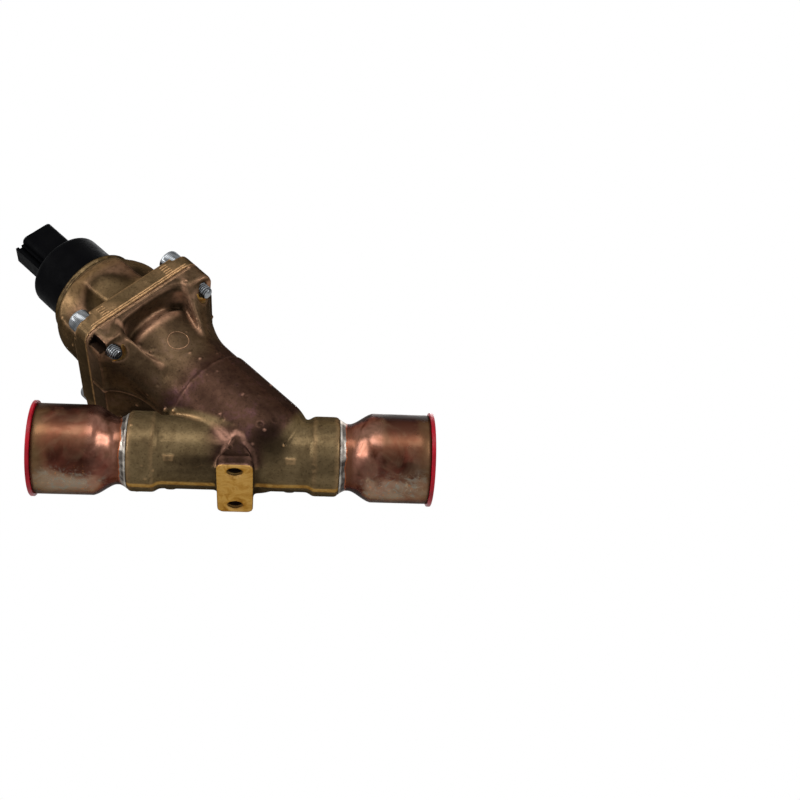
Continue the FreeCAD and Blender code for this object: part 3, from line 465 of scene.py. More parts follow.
def plainLook(name, low, high, metallic, roughness):
    look = Look(name, metallic, roughness)
    look.colour(look.ramp(look.grain(6, 4), [(0.35, low), (0.65, high)]))
    look.gloss(look.grain(2), roughness - 0.05, roughness + 0.1)
    look.bump(look.grain(0.4, 3), 0.01, 0.4)
    return look.material


copperFinish = copperLook()
brazeFinish = brazeLook()
plugFinish = plugLook()
capFinish = blackLook("cap_plastic")
zincFinish = zincLook()
rubberFinish = blackLook("seal_rubber", "141414", "1c1c1c", 0.6)
whiteFinish = plainLook("white_plastic", "d4d0c4", "e2dfd6", 0.0, 0.4)
magnetFinish = plainLook("sintered_magnet", "2b2b2d", "3a3a3c", 0.3, 0.5)
windingFinish = plainLook("winding_wire", "8a4a24", "a9602f", 0.6, 0.35)
tinFinish = plainLook("tinned_pin", "b9b7ae", "cfcdc6", 0.9, 0.25)
print("finishes ready")

plainNodes = {
    "inlet_plug": plugFinish, "outlet_plug": plugFinish, "stator_poles": zincFinish,
    "cover_seal": rubberFinish, "cap_seal": rubberFinish,
    "seat_ring": brassLook, "piston": brassLook, "lower_bush": brassLook, "upper_bush": brassLook,
    "guide_sleeve": steelLook, "spindle": steelLook, "rotor_can": steelLook,
    "piston_ring": whiteFinish, "spindle_nut": whiteFinish, "rotor_hub": whiteFinish,
    "rotor_magnet": magnetFinish, "stator_coils": windingFinish,
    "motor_cap": capFinish, "stator_spacer": capFinish,
    "connector_pins": tinFinish}
for name, look in plainNodes.items():
    nodes[name].data.materials.clear()
    nodes[name].data.materials.append(look)
print("plain nodes painted")

# The camera, found by fitting 42 points of the valve. Angles in degrees, lengths in millimetres.
camera = {"tilt": 35.49, "yaw": -6.25, "roll": -1.69, "distance": 571.0, "scale": 2.35, "shiftRight": -69.48,
          "shiftUp": -22.98, "imageWidth": 800, "sensor": 36.0}
tilt, yaw, roll = [math.radians(camera[name]) for name in ("tilt", "yaw", "roll")]
forward = Vector((-math.sin(yaw) * math.cos(tilt), math.cos(yaw) * math.cos(tilt), math.sin(tilt)))
levelRight = Vector((math.cos(yaw), math.sin(yaw), 0))
levelUp = levelRight.cross(forward)
right = levelRight * math.cos(roll) + levelUp * math.sin(roll)
up = levelUp * math.cos(roll) - levelRight * math.sin(roll)
eye = (-right * camera["shiftRight"] - up * camera["shiftUp"] - forward * camera["distance"]) * mm
eye.z += shared["pipeHeight"] * mm


def skinSpot(skin, column, row):
    # Where the camera's ray through this point of the 800 px picture meets the skin.
    focal, half = camera["scale"] * camera["distance"], camera["imageWidth"] / 2
    ray = forward + right * ((column - half) / focal) + up * ((half - row) / focal)
    hit, place, normal, index = skin.ray_cast(eye, ray.normalized())
    return place if hit else None


def swell(skin, marks, lift):
    # Lifts the skin by lift(place, normal) millimetres, and by each mark (place, radius, height) around it.
    skinVertices = skin.data.vertices
    tree = kdtree.KDTree(len(skinVertices))
    for vertex in skinVertices:
        tree.insert(vertex.co, vertex.index)
    tree.balance()
    heights = [lift(vertex.co, vertex.normal) for vertex in skinVertices]
    for place, radius, height in marks:
        for found, index, distance in tree.find_range(place, radius * mm):
            heights[index] += height * (1 - (distance / mm / radius) ** 2) ** 2
    normals = [vertex.normal.copy() for vertex in skinVertices]
    for vertex, normal, height in zip(skinVertices, normals, heights):
        vertex.co += normal * height * mm


def pictured(skin, spots):
    # The marks whose spots in the picture the camera's rays find on the skin.
    marks = [(skinSpot(skin, column, row), radius, height) for column, row, radius, height in spots]
    return [mark for mark in marks if mark[0]]


def scattered(skin, surfaceDetail):
    # Small pits and lumps of the sand mould, at seeded places on the outside.
    random.seed(surfaceDetail["seed"])
    marks = []
    while len(marks) < surfaceDetail["count"]:
        vertex = random.choice(skin.data.vertices)
        if surfaceDetail["outside"](vertex.co):
            height = random.uniform(*surfaceDetail["height"]) * random.choice((-1, -1, 1))
            marks.append((vertex.co.copy(), random.uniform(*surfaceDetail["radius"]), height))
    return marks


# Voxel size and smoothing of the two castings: rounds everywhere, softRounds on the large fillets.
casting = {"voxel": 0.6, "rounds": 12, "softRounds": 55, "pull": 0.5, "faces": 150000}


def softCasting(piece, hard, soft, sizes):
    # hard(place) is 1 where a machined face keeps its edge, soft(place) is 1 where fillets are large.
    applied(piece, "REMESH", mode="VOXEL", voxel_size=sizes["voxel"] * mm, adaptivity=0)
    skin = weigh(piece, "skin", lambda place: 1 - hard(place))
    applied(piece, "SMOOTH", factor=sizes["pull"], iterations=sizes["rounds"], vertex_group=skin)
    fillets = weigh(piece, "fillets", lambda place: soft(place) * (1 - hard(place)))
    applied(piece, "SMOOTH", factor=sizes["pull"], iterations=sizes["softRounds"], vertex_group=fillets)
    piece.vertex_groups.clear()
    return piece


def thinned(piece, faces):
    triangles = sum(len(face.vertices) - 2 for face in piece.data.polygons)
    if triangles > faces:
        applied(piece, "DECIMATE", ratio=faces / triangles)
    print(piece.name, "triangles before thinning:", triangles)
    return piece


def nearScrew(across, aside):
    return min(math.hypot(across - x, aside - y) for x, y in screwPlaces)


def nearPadHole(place):
    x, y, z = place / mm
    return min(math.hypot(x, y - side * shared["padHole"]) for side in (-1, 1))


# The body's coves: half width, level of the top and distance from the axis, outside and inside.
cove = {"outer": (23.0, 80.6, 36.2), "inner": (13.5, 76.5, 23.5), "bottom": 60.0, "round": 5.0}
pad = {"holeRadius": 3.03, "rimRadius": 3.68, "rimDepth": 0.38, "threadDepth": 0.38, "threadPitch": 1.0,
       "depth": 9.9, "spare": 0.4, "dimples": ((-3.8, 5.0), (4.1, 5.0)), "halfWidth": 8.3, "halfLength": 19.3}
notch = {"across": (-33.2, -27.6), "aside": (-33.2, -27.0), "level": (72.4, 80.8)}


def coveTool(side):
    tool = block("cove_tool", (2, 2, 2), (0, 0, 0))
    for vertex in tool.data.vertices:
        width, top, reach = cove["outer"] if vertex.co.y > 0 else cove["inner"]
        level = top if vertex.co.z > 0 else cove["bottom"]
        vertex.co = Vector((math.copysign(width, vertex.co.x), reach, level)) * mm
    applied(tool, "BEVEL", width=cove["round"] * mm, segments=5, limit_method="NONE")
    tool.data.transform(Matrix.Diagonal((1, side, 1, 1)))
    if side < 0:
        tool.data.flip_normals()
    return settle(tool, barrelFrame)


def padTools():
    tools = [block("pad_cut", (40, 60, 4), (0, 0, -2))]
    hole, rim, pitch = pad["holeRadius"], pad["rimRadius"], pad["threadPitch"]
    for side in (-1, 1):
        outline = [(0, -1), (rim, -1), (rim, 0), (hole, pad["rimDepth"])]
        height = pad["rimDepth"] + 0.25
        while height < pad["depth"] - pitch:
            outline += [(hole, height), (hole + pad["threadDepth"], height + pitch / 2)]
            height += pitch
        outline += [(hole, height), (0, height)]
        tools.append(lathe("pad_hole", outline, Matrix.Translation((0, side * shared["padHole"] * mm, 0))))
    tools += [pill("pad_dimple", (x, y, -0.1), (1.3, 1.4, 0.3)) for x, y in pad["dimples"]]
    return tools


def bodyTools():
    tools = [drill("spot_face", shared["spotFaceRadius"], 55.4, shared["spotFace"], across, aside)
             for across, aside in screwPlaces]
    sizes = [notch[name][1] - notch[name][0] for name in ("across", "aside", "level")]
    centre = [sum(notch[name]) / 2 for name in ("across", "aside", "level")]
    return tools + [block("pry_notch", sizes, centre, barrelFrame)]


def bodyHard(place):
    across, aside, level, radius = barrelPlace(place)
    fromPipe = math.hypot(place.y / mm, place.z / mm - shared["pipeHeight"])
    inside = (radius < 17.6 and level > 0) or fromPipe < 14.4
    holes = place.z < 12 * mm and nearPadHole(place) < 4.2
    return 1.0 if inside or holes or place.z < 0.5 * mm or level > 82.2 else 0.0


def bodySoft(place):
    across, aside, level, radius = barrelPlace(place)
    x, y, z = place / mm
    coves = ease(52, 56, level) * ease(82.4, 81.2, level) * ease(15, 18, abs(aside))
    coves *= ease(5.5, 7.5, nearScrew(across, aside))
    hood = ease(15, 12, abs(x)) * ease(9, 12, abs(y)) * ease(3.0, 5.5, z) * ease(24, 19, z)
    return max(coves, hood * 0.12)


# The parting line of the mould: how far it stands out and how wide it is.
parting = {"height": 0.55, "halfWidth": 1.1, "start": 46.0}


def bodyLift(place, normal):
    across, aside, level, radius = barrelPlace(place)
    if level < parting["start"] or radius < 18 or abs(aside) > parting["halfWidth"] or level > 82:
        return 0.0
    share = (1 - (aside / parting["halfWidth"]) ** 2) * ease(parting["start"], parting["start"] + 4, level)
    return parting["height"] * share * (0.7 + 0.6 * noise.noise(place * 160))


# Lumps and pits that show in the picture: column and row in pixels, then radius and height in millimetres.
bodyMarks = [(166, 410, 2.0, 1.1), (174, 411, 1.7, 1.0), (270.5, 386, 1.4, 0.7), (190, 353, 1.2, 0.4),
             (200, 358.5, 1.2, 0.35), (283.5, 445.5, 1.1, 0.6), (285.5, 444, 0.9, -0.5),
             (222, 419, 1.0, -0.5), (220.5, 414, 0.9, 0.35), (260, 424, 1.3, -0.4), (264.5, 430, 1.3, 0.4),
             (243, 394, 1.2, 0.3),
             (228, 440.5, 0.9, 0.4), (230, 447, 0.8, -0.4), (189, 268, 1.3, 0.7), (186, 281, 1.2, 0.6),
             (168, 275, 1.2, -0.5), (137, 405, 1.5, 0.5), (151, 352, 1.1, 0.35), (140, 345, 1.0, -0.35),
             (329, 418, 1.0, -0.4), (131, 425, 1.0, 0.4)]


def bodyOutside(place):
    across, aside, level, radius = barrelPlace(place)
    fromPipe = math.hypot(place.y / mm, place.z / mm - shared["pipeHeight"])
    onRun = fromPipe > 14.9 and abs(place.x) < 45 * mm
    return place.z > 1 * mm and level < 82 and onRun and (radius > 18.5 or level < 0)


bodySand = {"seed": 7, "count": 110, "radius": (0.8, 1.5), "height": (0.12, 0.3), "outside": bodyOutside}
bodySkin = mergedCopy("valve_body_casting", "valve_body")
for vertex in bodySkin.data.vertices:
    if vertex.co.z < 0.01 * mm:
        vertex.co.z -= pad["spare"] * mm
carve(bodySkin, [coveTool(-1), coveTool(1)])
softCasting(bodySkin, bodyHard, bodySoft, casting)
swell(bodySkin, pictured(bodySkin, bodyMarks) + scattered(bodySkin, bodySand), bodyLift)
thinned(bodySkin, casting["faces"])
carve(bodySkin, padTools() + bodyTools())


# The edges of the ribs between the coves and the flange's corners, where a painted highlight runs, as
# (across, level) corners.
ribEdges = (((-16.4, 80), (-14.6, 73), (-13.0, 66), (-12.4, 57)),
            ((20.6, 80), (17.2, 75.7), (13.6, 67.6), (11.2, 58.4)))
# The edge of the hood above the pad, where a painted highlight runs, as (x, height) corners.
hoodEdge = ((-8.4, 4.6), (-7.6, 6.2), (-5.6, 8.6), (-4.4, 12.0), (-2.6, 15.2), (0.0, 16.2), (2.4, 14.8),
            (4.0, 11.4), (6.6, 8.8), (8.0, 7.0), (8.6, 4.6))


def awayFrom(corners, x, z):
    # The distance from a point to a line through the corners.
    here = Vector((x, z))
    least = 1e9
    for first, second in zip(corners, corners[1:]):
        start, step = Vector(first), Vector(second) - Vector(first)
        share = min(max((here - start).dot(step) / step.length_squared, 0), 1)
        least = min(least, (here - start - step * share).length)
    return least


def bodyWearAndPaintedLight(place, normal):
    across, aside, level, radius = barrelPlace(place)
    x, y, z = place / mm
    fromPipe = math.hypot(y, z - shared["pipeHeight"])
    drift = noise.noise(place * 70)
    byHood = ease(14, 9, abs(x)) * ease(8, 12, abs(y)) * ease(24, 18, z)
    heat = max(ease(17.4, 20, fromPipe + drift), byHood) * (1 - 0.4 * ease(44, 54, level + 6 * drift))
    # Painted shade on faces turned to the barrel's minus-across side.
    left = ease(0.2, 0.9, -normal.dot(barrelAcross)) * ease(46, 58, level) * ease(78, 70, level) * 0.12
    # Painted shade in the crease between barrel and run, right of the hood.
    crotch = 0.85 * ease(12, 3, math.hypot(x - 14.5, z - 13.5)) * ease(4, 10, abs(y))
    # Painted shade on the hood's front faces.
    hood = 0.55 * ease(9, 7, abs(x)) * ease(10, 13, abs(y)) * ease(0.4, 0.9, z) * ease(16, 11, z)
    # Painted shade on the block round the pad, under the pipe.
    sides = 0.6 * ease(13, 9, abs(x)) * ease(0.3, 0.8, z) * ease(11, 5, z)
    joint = 0.9 * ease(82.5, 82.9, level)
    # Painted shade fills the pry notch.
    dug = all(low - 0.5 < value < high + 0.5 for value, (low, high) in zip(
        (across, aside, level), (notch["across"], notch["aside"], notch["level"])))
    # Painted shade under the flange's brow, over the coves.
    brow = 0.55 * ease(71, 74, level) * ease(82.5, 81, level)
    brow *= ease(18, 14, abs(abs(across) - 2)) * ease(27, 31, abs(aside))
    onRun = ease(17.6, 16.8, fromPipe) * ease(43, 40, abs(x))
    # Painted shade along the run's lower side.
    belly = 0.5 * ease(10, 6.5, z) * ease(1.6, 3.4, z) * onRun * (0.8 + drift)
    shadeAndJoints = max(left, crotch, hood, sides, joint, brow, belly, 1.0 if dug else 0.0)
    # Painted highlight, in the third share: a lit band on the coves' arch walls, then lines along the rib
    # edges, the hood's edge and the crease between barrel and run.
    highlightBand = 0.8 * ease(70, 74, level) * ease(79.5, 77.5, level)
    highlightBand *= ease(29, 26, abs(aside)) * ease(19, 22, abs(aside))
    if abs(aside) > 17 and level > 52:
        highlightBand = max(highlightBand, 0.6 * ease(2.0, 0.2, min(awayFrom(corners, across, level) for corners in ribEdges)))
    if abs(y) > 9 and z < 20 and abs(x) < 12:
        highlightBand = max(highlightBand, 0.75 * ease(1.3, 0.3, awayFrom(hoodEdge, x, z)))
    crease = ease(1.8, 0.4, abs(fromPipe - 15.9)) * ease(2.4, 0.6, abs(radius - 22)) * ease(4, 9, abs(y))
    highlightBand = max(highlightBand, 0.7 * crease * ease(14, 8, x))
    flash = 0.6 * ease(1.6, 0.8, abs(y + 0.8 * drift)) * ease(4, 3, z) * ease(7.5, 9.5, abs(x))
    inHole = nearPadHole(place) < 4.0 and z < 11.5
    onPad = z < 0.25 and abs(x) < pad["halfWidth"] and abs(y) < pad["halfLength"]
    nearFace = nearScrew(across, aside) < shared["spotFaceRadius"] + 0.1
    spotFaced = nearFace and abs(level - shared["spotFace"]) < 0.12
    cut = 1.0 if onPad else 0.8 if spotFaced else flash
    if inHole and not onPad:
        cut = 0.7 * ease(2.2, 0.3, z)
        # Painted shade inside the pad's holes.
        shadeAndJoints = 1.0
    return heat, shadeAndJoints * (1 - cut), 0.0 if dug else highlightBand * (0.7 + drift), cut


paint(bodySkin, bodyWearAndPaintedLight)
smoothShade(bodySkin, 42)
ride(bodySkin, castLook)
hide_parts("valve_body")
print("valve body cast")

coverSizes = {"joint": 83.6, "bore": 18.4, "bead": 117.6, "recess": 19.62, "recessFloor": 119.3,
              "seatRadius": 6.6}


def coverHard(place):
    across, aside, level, radius = barrelPlace(place)
    machined = level < coverSizes["joint"] or radius < coverSizes["bore"] or level > coverSizes["bead"]
    return 1.0 if machined else 0.0


def coverSoft(place):
    across, aside, level, radius = barrelPlace(place)
    return ease(92.6, 95, level) * ease(116.5, 113, level) * 0.6


def coverTools():
    low, high = coverSizes["recessFloor"], shared["bonnetTop"] + 1
    tools = [drill("cap_recess", coverSizes["recess"], low, high, 0, 0)]
    low, high = shared["headSeat"], shared["plateTop"] + 1
    return tools + [drill("head_seat", coverSizes["seatRadius"], low, high, across, aside)
                    for across, aside in screwPlaces]


coverMarks = [(147, 253, 1.3, 0.3), (62, 318, 1.2, 0.3), (113, 309, 0.9, -0.3), (150, 281, 0.8, -0.3),
              (104, 322, 1.0, 0.3), (73, 345, 1.2, 0.4), (76, 362, 1.2, 0.4)]


def coverOutside(place):
    across, aside, level, radius = barrelPlace(place)
    return 84.5 < level < 116 and radius > 20.5


coverSand = {"seed": 11, "count": 50, "radius": (0.8, 1.4), "height": (0.1, 0.25), "outside": coverOutside}
coverSkin = softCasting(mergedCopy("cover_casting", "cover"), coverHard, coverSoft, casting)
coverSpots = pictured(coverSkin, coverMarks) + scattered(coverSkin, coverSand)
swell(coverSkin, coverSpots, lambda place, normal: 0.0)
thinned(coverSkin, casting["faces"])
carve(coverSkin, coverTools())


def coverWearAndPaintedLight(place, normal):
    across, aside, level, radius = barrelPlace(place)
    drift = noise.noise(place * 60)
    joint = 0.9 * ease(83.5, 83.15, level)
    # Painted shade in the screw pockets.
    pocket = 0.5 * ease(12, 7, nearScrew(across, aside)) * ease(89.5, 92, level)
    # Painted shade: patches of dark reflection over the dome's middle; the same share also tints it as heat.
    dome = 0.6 * ease(93, 99, level) * ease(114, 106, level) * ease(-0.2, 0.5, drift + 0.25)
    # Painted shade on faces turned to the barrel's minus-across side.
    left = 0.2 * ease(0.3, 0.9, -normal.dot(barrelAcross)) * ease(92, 84, level)
    bead = ease(117.0, 117.8, level) * (1 if radius > 19.7 else 0)
    return dome, max(joint, pocket * 0.6, dome, left) * (1 - bead), 0.25 * ease(0.1, 0.5, drift), bead


paint(coverSkin, coverWearAndPaintedLight)
smoothShade(coverSkin, 42)
ride(coverSkin, coverLook)
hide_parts("cover")
print("cover cast")


def laidOn(piece, skin):
    # A mark drawn in millimetres as (across, height above the skin, level), seen square on from the front:
    # each vertex goes to the skin behind it.
    for vertex in piece.data.vertices:
        across, height, level = vertex.co
        start = onBarrel(across, -45, level)
        hit, found, normal, index = skin.ray_cast(start, barrelAside)
        depth = found.y / mm if hit else -shared["flangeHalf"]
        vertex.co = onBarrel(across, depth - height, level)
    return piece


def ridge(name, start, end, halfWidth, height, skin, seed=0):
    # A raised line across the skin from (across, level) to (across, level), uneven like a cast edge.
    steps = max(int(math.dist(start, end) / 0.6), 6)
    deselectAll()
    bpy.ops.mesh.primitive_grid_add(x_subdivisions=steps, y_subdivisions=6, size=2)
    piece = bpy.context.object
    piece.name = name
    for vertex in piece.data.vertices:
        share, offset = (vertex.co.x + 1) / 2, vertex.co.y
        across = start[0] + (end[0] - start[0]) * share
        level = start[1] + (end[1] - start[1]) * share
        rough = 1 + 0.5 * noise.noise(Vector((across * 0.5, seed, 0)))
        lift = height * rough * (1 - offset ** 2) * ease(0, 0.06, share) * ease(1, 0.94, share) - 0.12
        vertex.co = (across, lift, level + offset * halfWidth * (0.8 + 0.3 * rough))
    laidOn(piece, skin)
    applied(piece, "SOLIDIFY", thickness=0.2 * mm, offset=0)
    return piece


def ringMark(skin, across, level, radius, thickness):
    deselectAll()
    bpy.ops.mesh.primitive_torus_add(major_radius=radius, minor_radius=thickness, major_segments=96,
                                     minor_segments=10)
    piece = bpy.context.object
    for vertex in piece.data.vertices:
        vertex.co = (vertex.co.x + across, vertex.co.z, vertex.co.y + level)
    return laidOn(piece, skin)


# Cast marks: the ring (across, level, radius, thickness), the lips of the joint and the short dashes at both
# ends of the cover's edge.
marks = {"ring": (0.5, 60.9, 4.5, 0.24), "lips": {"body": 82.15, "cover": 83.85}, "lipReach": 26.5,
         "dashes": {"across": (-17.2, 17.6), "levels": (86.2, 87.5, 88.8, 90.1), "half": 1.9}}


def finishMarks(piece, name, look, surfaceDetail):
    piece.name = name
    takeUp(piece)
    bpy.ops.object.mode_set(mode="EDIT")
    bpy.ops.mesh.select_all(action="SELECT")
    bpy.ops.mesh.normals_make_consistent(inside=False)
    bpy.ops.object.mode_set(mode="OBJECT")
    paint(piece, surfaceDetail)
    smoothShade(piece, 60)
    return ride(piece, look)


def bodyMarkTintAndShade(place, normal):
    # Heat tint, and painted shade that darkens the ring mark and, less, the body's lip.
    return 0.4, 0.85 - 0.5 * ease(70, 75, barrelPlace(place)[2]), 0, 0


def coverMarkHighlight(place, normal):
    # Painted highlight on the joint's lips and the dashes, broken by noise.
    return 0.0, 0.0, 0.5 + 0.4 * ease(-0.4, 0.2, noise.noise(place * 150)), 0.0


reach, half = marks["lipReach"], marks["dashes"]["half"]
lip = marks["lips"]["body"]
strokes = [ringMark(bodySkin, *marks["ring"]),
           ridge("body_lip", (-reach, lip), (reach, lip), 0.45, 0.4, bodySkin, 3)]
finishMarks(joined("body_cast_marks", strokes), "body_cast_marks", castLook, bodyMarkTintAndShade)
lip = marks["lips"]["cover"]
strokes = [ridge("cover_lip", (-reach, lip), (reach, lip), 0.4, 0.55, coverSkin, 8),
           ridge("cover_lip", (-reach, lip + 1.2), (reach, lip + 1.2), 0.35, 0.35, coverSkin, 5)]
for across in marks["dashes"]["across"]:
    for level in marks["dashes"]["levels"]:
        start, end = (across - half, level), (across + half, level)
        strokes.append(ridge("dash", start, end, 0.24, 0.4, coverSkin, level))
finishMarks(joined("cover_cast_marks", strokes), "cover_cast_marks", coverLook, coverMarkHighlight)
print("cast marks laid")

# Socket head screws with a rolled thread and a knurled head.
screw = {"tail": 69.2, "shank": 2.9, "root": 2.42, "pitch": 1.0, "threadEnd": 79.0, "head": 5.0,
         "headTop": 96.3, "knurl": 0.14, "sides": 96, "socket": 5.0, "socketDepth": 3.0}


def screwThreadShade(place, normal):
    radius, level = math.hypot(place.x, place.y) / mm, place.z / mm
    head, top = screw["head"], screw["headTop"]
    inThread = screw["tail"] + 0.2 < level < screw["threadEnd"]
    inKnurl = head - 0.2 < radius < head - 0.08 and level < top - 0.8
    inSocket = radius < screw["socket"] * 0.7 and shared["plateTop"] < level < top - 0.3
    # Painted shade between the threads, in the knurl's grooves and in the socket.
    rootShade = ease(screw["shank"] - 0.1, screw["root"] + 0.05, radius) if inThread else 0
    return max(rootShade, 0.7 if inKnurl else 0, 0.8 if inSocket else 0), 0, 0, 0


def screwPiece():
    tail, shank, head, top = screw["tail"], screw["shank"], screw["head"], screw["headTop"]
    outline = [(0, tail), (screw["root"] - 0.3, tail), (screw["root"], tail + 0.35)]
    level = tail + 0.35
    while level < screw["threadEnd"]:
        crest = shank if level > tail + 1 else shank - 0.2
        outline += [(crest, level + screw["pitch"] * 0.4), (crest, level + screw["pitch"] * 0.55),
                    (screw["root"], level + screw["pitch"] * 0.95)]
        level += screw["pitch"]
    seat = shared["headSeat"]
    outline += [(shank, level + 0.3), (shank, seat), (head - 0.25, seat), (head, seat + 0.3),
                (head, top - 1.1), (head - 0.05, top - 0.7), (head - 0.35, top - 0.15), (head - 0.8, top),
                (0, top)]
    piece = lathe("screw", outline, None, screw["sides"])
    for vertex in piece.data.vertices:
        radius = math.hypot(vertex.co.x, vertex.co.y) / mm
        turn = math.atan2(vertex.co.y, vertex.co.x) / math.tau * screw["sides"]
        if radius > head - 0.02 and vertex.co.z < (top - 0.8) * mm and round(turn) % 2:
            shrink = 1 - screw["knurl"] / radius
            vertex.co.x *= shrink
            vertex.co.y *= shrink
    bpy.ops.mesh.primitive_cylinder_add(vertices=6, radius=screw["socket"] / math.sqrt(3) * mm,
                                        depth=screw["socketDepth"] * 2 * mm, location=(0, 0, top * mm))
    carve(piece, [settle(bpy.context.object)])
    return paint(piece, screwThreadShade)


firstScrew = screwPiece()
screws = []
for across, aside in screwPlaces:
    takeUp(firstScrew)
    bpy.ops.object.duplicate()
    screws.append(settle(bpy.context.object, barrelFrame @ Matrix.Translation((across * mm, aside * mm, 0))))
bpy.data.objects.remove(firstScrew)
screwSet = smoothShade(joined("cover_screws_threaded", screws), 35)
ride(screwSet, zincFinish)
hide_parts("cover_screws")
print("screws threaded")

# The copper couplings: radii and walls, then the levels of root, shoulder and mouth from the collar. Even is
# the share of a straight cone in the shoulder, uneven the size of the dents in the bell.
coupling = {"neck": 14.3, "neckWall": 1.25, "bell": 19.05, "bellWall": 1.5, "root": -9.0,
            "shoulder": (4.6, 13.9), "mouth": 38.0, "even": 0.4, "steps": 18, "uneven": 0.06}


def onPipe(piece, end, side):
    place = Matrix.Translation((braze["collar"][end] * mm, 0, shared["pipeHeight"] * mm))
    return settle(piece, place @ Matrix.Rotation(math.radians(90 * side), 4, "Y"))


def couplingPiece(end, side):
    low, high = coupling["shoulder"]
    outer, inner = [], []
    for step in range(coupling["steps"] + 1):
        share = step / coupling["steps"]
        swept = coupling["even"] * share + (1 - coupling["even"]) * ease(0, 1, share)
        radius = coupling["neck"] + (coupling["bell"] - coupling["neck"]) * swept
        wall = coupling["neckWall"] + (coupling["bellWall"] - coupling["neckWall"]) * swept
        outer.append((radius, low + (high - low) * share))
        inner.append((radius - wall, low + (high - low) * share))
    root, mouth, bell = coupling["root"], coupling["mouth"], coupling["bell"]
    bore = bell - coupling["bellWall"]
    middle = [(bell, high + (mouth - 0.3 - high) * share) for share in (0.2, 0.4, 0.6, 0.8)]
    rim = [(bell, mouth - 0.3), (bell - 0.3, mouth), (bore, mouth)]
    foot = [(coupling["neck"] - coupling["neckWall"], root)]
    outline = [(coupling["neck"], root)] + outer + middle + rim + inner[::-1] + foot
    piece = lathe(end + "_coupling_drawn", outline, None, 144)
    for vertex in piece.data.vertices:
        x, y, z = vertex.co / mm
        if low < z < mouth - 2:
            spot = Vector((x, y, z)) * 0.12 + Vector((side * 9, 0, 0))
            wave = 1 + coupling["uneven"] / bell * noise.noise(spot)
            vertex.co = Vector((x * wave, y * wave, z)) * mm
    onPipe(piece, end, side)
    smoothShade(piece, 50)
    ride(piece, copperFinish)
    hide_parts(end + "_coupling")


# The brazing alloy round each neck: its reach along the neck and its height, both uneven.
braze = {"collar": {"inlet": -45.2, "outlet": 43.4}, "neck": 14.3, "reach": 2.9, "uneven": 1.1, "height": 1.8}


def brazePiece(end, side):
    outline = [(braze["neck"] - 0.3, 0), (braze["neck"] + braze["height"], 0)]
    outline += [(braze["neck"] + braze["height"] * (1 - share) ** 1.4, braze["reach"] * share)
                for share in (0.15, 0.3, 0.45, 0.6, 0.75, 0.9)]
    outline += [(braze["neck"] - 0.05, braze["reach"]), (braze["neck"] - 0.3, braze["reach"])]
    piece = lathe(end + "_braze_fillet", outline, None, 180)
    paint(piece, lambda place, normal: (min(max(place.z / mm / braze["reach"], 0), 1), 0, 0, 0))
    for vertex in piece.data.vertices:
        x, y, z = vertex.co / mm
        turn = math.atan2(y, x)
        wave = noise.noise(Vector((math.cos(turn) * 2.2, math.sin(turn) * 2.2, side * 3)))
        wave += 0.35 * noise.noise(Vector((math.cos(turn) * 9, math.sin(turn) * 9, side * 5)))
        radius = math.hypot(x, y)
        lump = 1 + 0.01 * noise.noise(Vector((x, y, z)) * 0.6) if radius > braze["neck"] + 0.1 else 1
        stretch = 1 + braze["uneven"] * wave / braze["reach"]
        vertex.co = Vector((x * lump, y * lump, z * stretch)) * mm
    onPipe(piece, end, side)
    smoothShade(piece, 60)
    ride(piece, brazeFinish)
    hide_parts(end + "_braze")


for end, side in (("inlet", -1), ("outlet", 1)):
    couplingPiece(end, side)
    brazePiece(end, side)
print("couplings drawn and brazed")

deselectAll()
bpy.ops.object.camera_add(location=eye)
lens = bpy.context.object
lens.matrix_world = Matrix.Translation(eye) @ Matrix((right, up, -forward)).transposed().to_4x4()
lens.data.sensor_width = camera["sensor"]
lens.data.lens = camera["scale"] * camera["distance"] * camera["sensor"] / camera["imageWidth"]
lens.data.clip_start, lens.data.clip_end = 0.01, 20
bpy.context.scene.camera = lens

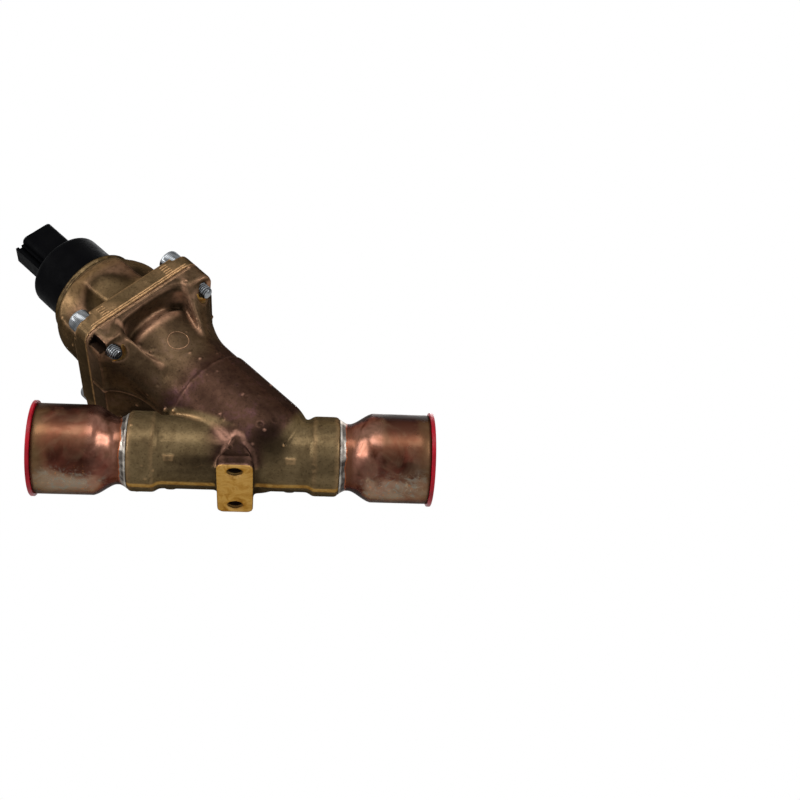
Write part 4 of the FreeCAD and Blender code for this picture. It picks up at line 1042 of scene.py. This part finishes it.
# "from" is given along the picture's right, its up and towards the camera. Lengths in metres, power in watts.
middle = onBarrel(0, 0, 50)
lamps = {
    "keyLamp": {"from": (-0.1, 0.72, 0.6), "distance": 1.2, "size": (1.4, 0.5), "power": 10.5},
    "sideLamp": {"from": (-0.83, 0.36, 0.42), "distance": 1.3, "size": (0.3, 0.9), "power": 9},
    "rightLamp": {"from": (0.83, 0.37, 0.38), "distance": 1.3, "size": (0.2, 0.6), "power": 5},
    "lowLamp": {"from": (-0.3, -0.72, 0.55), "distance": 1.3, "size": (0.9, 0.3), "power": 4.5},
    "backLamp": {"from": (0.2, 0.5, -0.9), "distance": 1.4, "size": (0.8, 0.8), "power": 8}}
for name, lamp in lamps.items():
    direction = (right * lamp["from"][0] + up * lamp["from"][1] - forward * lamp["from"][2]).normalized()
    deselectAll()
    bpy.ops.object.light_add(type="AREA", location=middle + direction * lamp["distance"])
    light = bpy.context.object
    light.name = name
    light.rotation_euler = (-direction).to_track_quat("-Z", "Y").to_euler()
    light.data.shape = "RECTANGLE"
    light.data.size, light.data.size_y = lamp["size"]
    light.data.energy = lamp["power"]


def litByEye(tree, seen, unseen):
    # One shader for what the camera and reflections see, another for the light that falls on the object.
    path = tree.nodes.new("ShaderNodeLightPath")
    either = path.outputs["Is Camera Ray"]
    for output in ("Is Glossy Ray", "Is Transmission Ray"):
        larger = tree.nodes.new("ShaderNodeMath")
        larger.operation = "MAXIMUM"
        tree.links.new(either, larger.inputs[0])
        tree.links.new(path.outputs[output], larger.inputs[1])
        either = larger.outputs[0]
    mixer = tree.nodes.new("ShaderNodeMixShader")
    tree.links.new(either, mixer.inputs[0])
    tree.links.new(unseen.outputs[0], mixer.inputs[1])
    tree.links.new(seen.outputs[0], mixer.inputs[2])
    return mixer.outputs[0]


studio = {"fill": 0.38, "floorLevel": -0.6, "floorSize": 8}
world = bpy.data.worlds.new("studio")
bpy.context.scene.world = world
world.use_nodes = True
seen = world.node_tree.nodes["Background"]
seen.inputs["Color"].default_value = (1, 1, 1, 1)
unseen = world.node_tree.nodes.new("ShaderNodeBackground")
unseen.inputs["Color"].default_value = (1, 1, 1, 1)
unseen.inputs["Strength"].default_value = studio["fill"]
shown = litByEye(world.node_tree, seen, unseen)
world.node_tree.links.new(shown, world.node_tree.nodes["World Output"].inputs[0])

deselectAll()
bpy.ops.mesh.primitive_plane_add(size=studio["floorSize"], location=(0, 0, studio["floorLevel"]))
floor = settle(bpy.context.object)
floor.name = "studio_floor"
paper = bpy.data.materials.new("paper_floor")
paper.use_nodes = True
paperNodes = paper.node_tree.nodes
matte = paperNodes["Principled BSDF"]
matte.inputs["Base Color"].default_value = shade("eeeeec")
matte.inputs["Roughness"].default_value = 0.9
glow = paperNodes.new("ShaderNodeEmission")
glow.inputs["Color"].default_value = (1, 1, 1, 1)
shown = litByEye(paper.node_tree, glow, matte)
paper.node_tree.links.new(shown, paperNodes["Material Output"].inputs[0])
floor.data.materials.append(paper)

bpy.context.scene.view_settings.view_transform = "Standard"
print("studio ready")
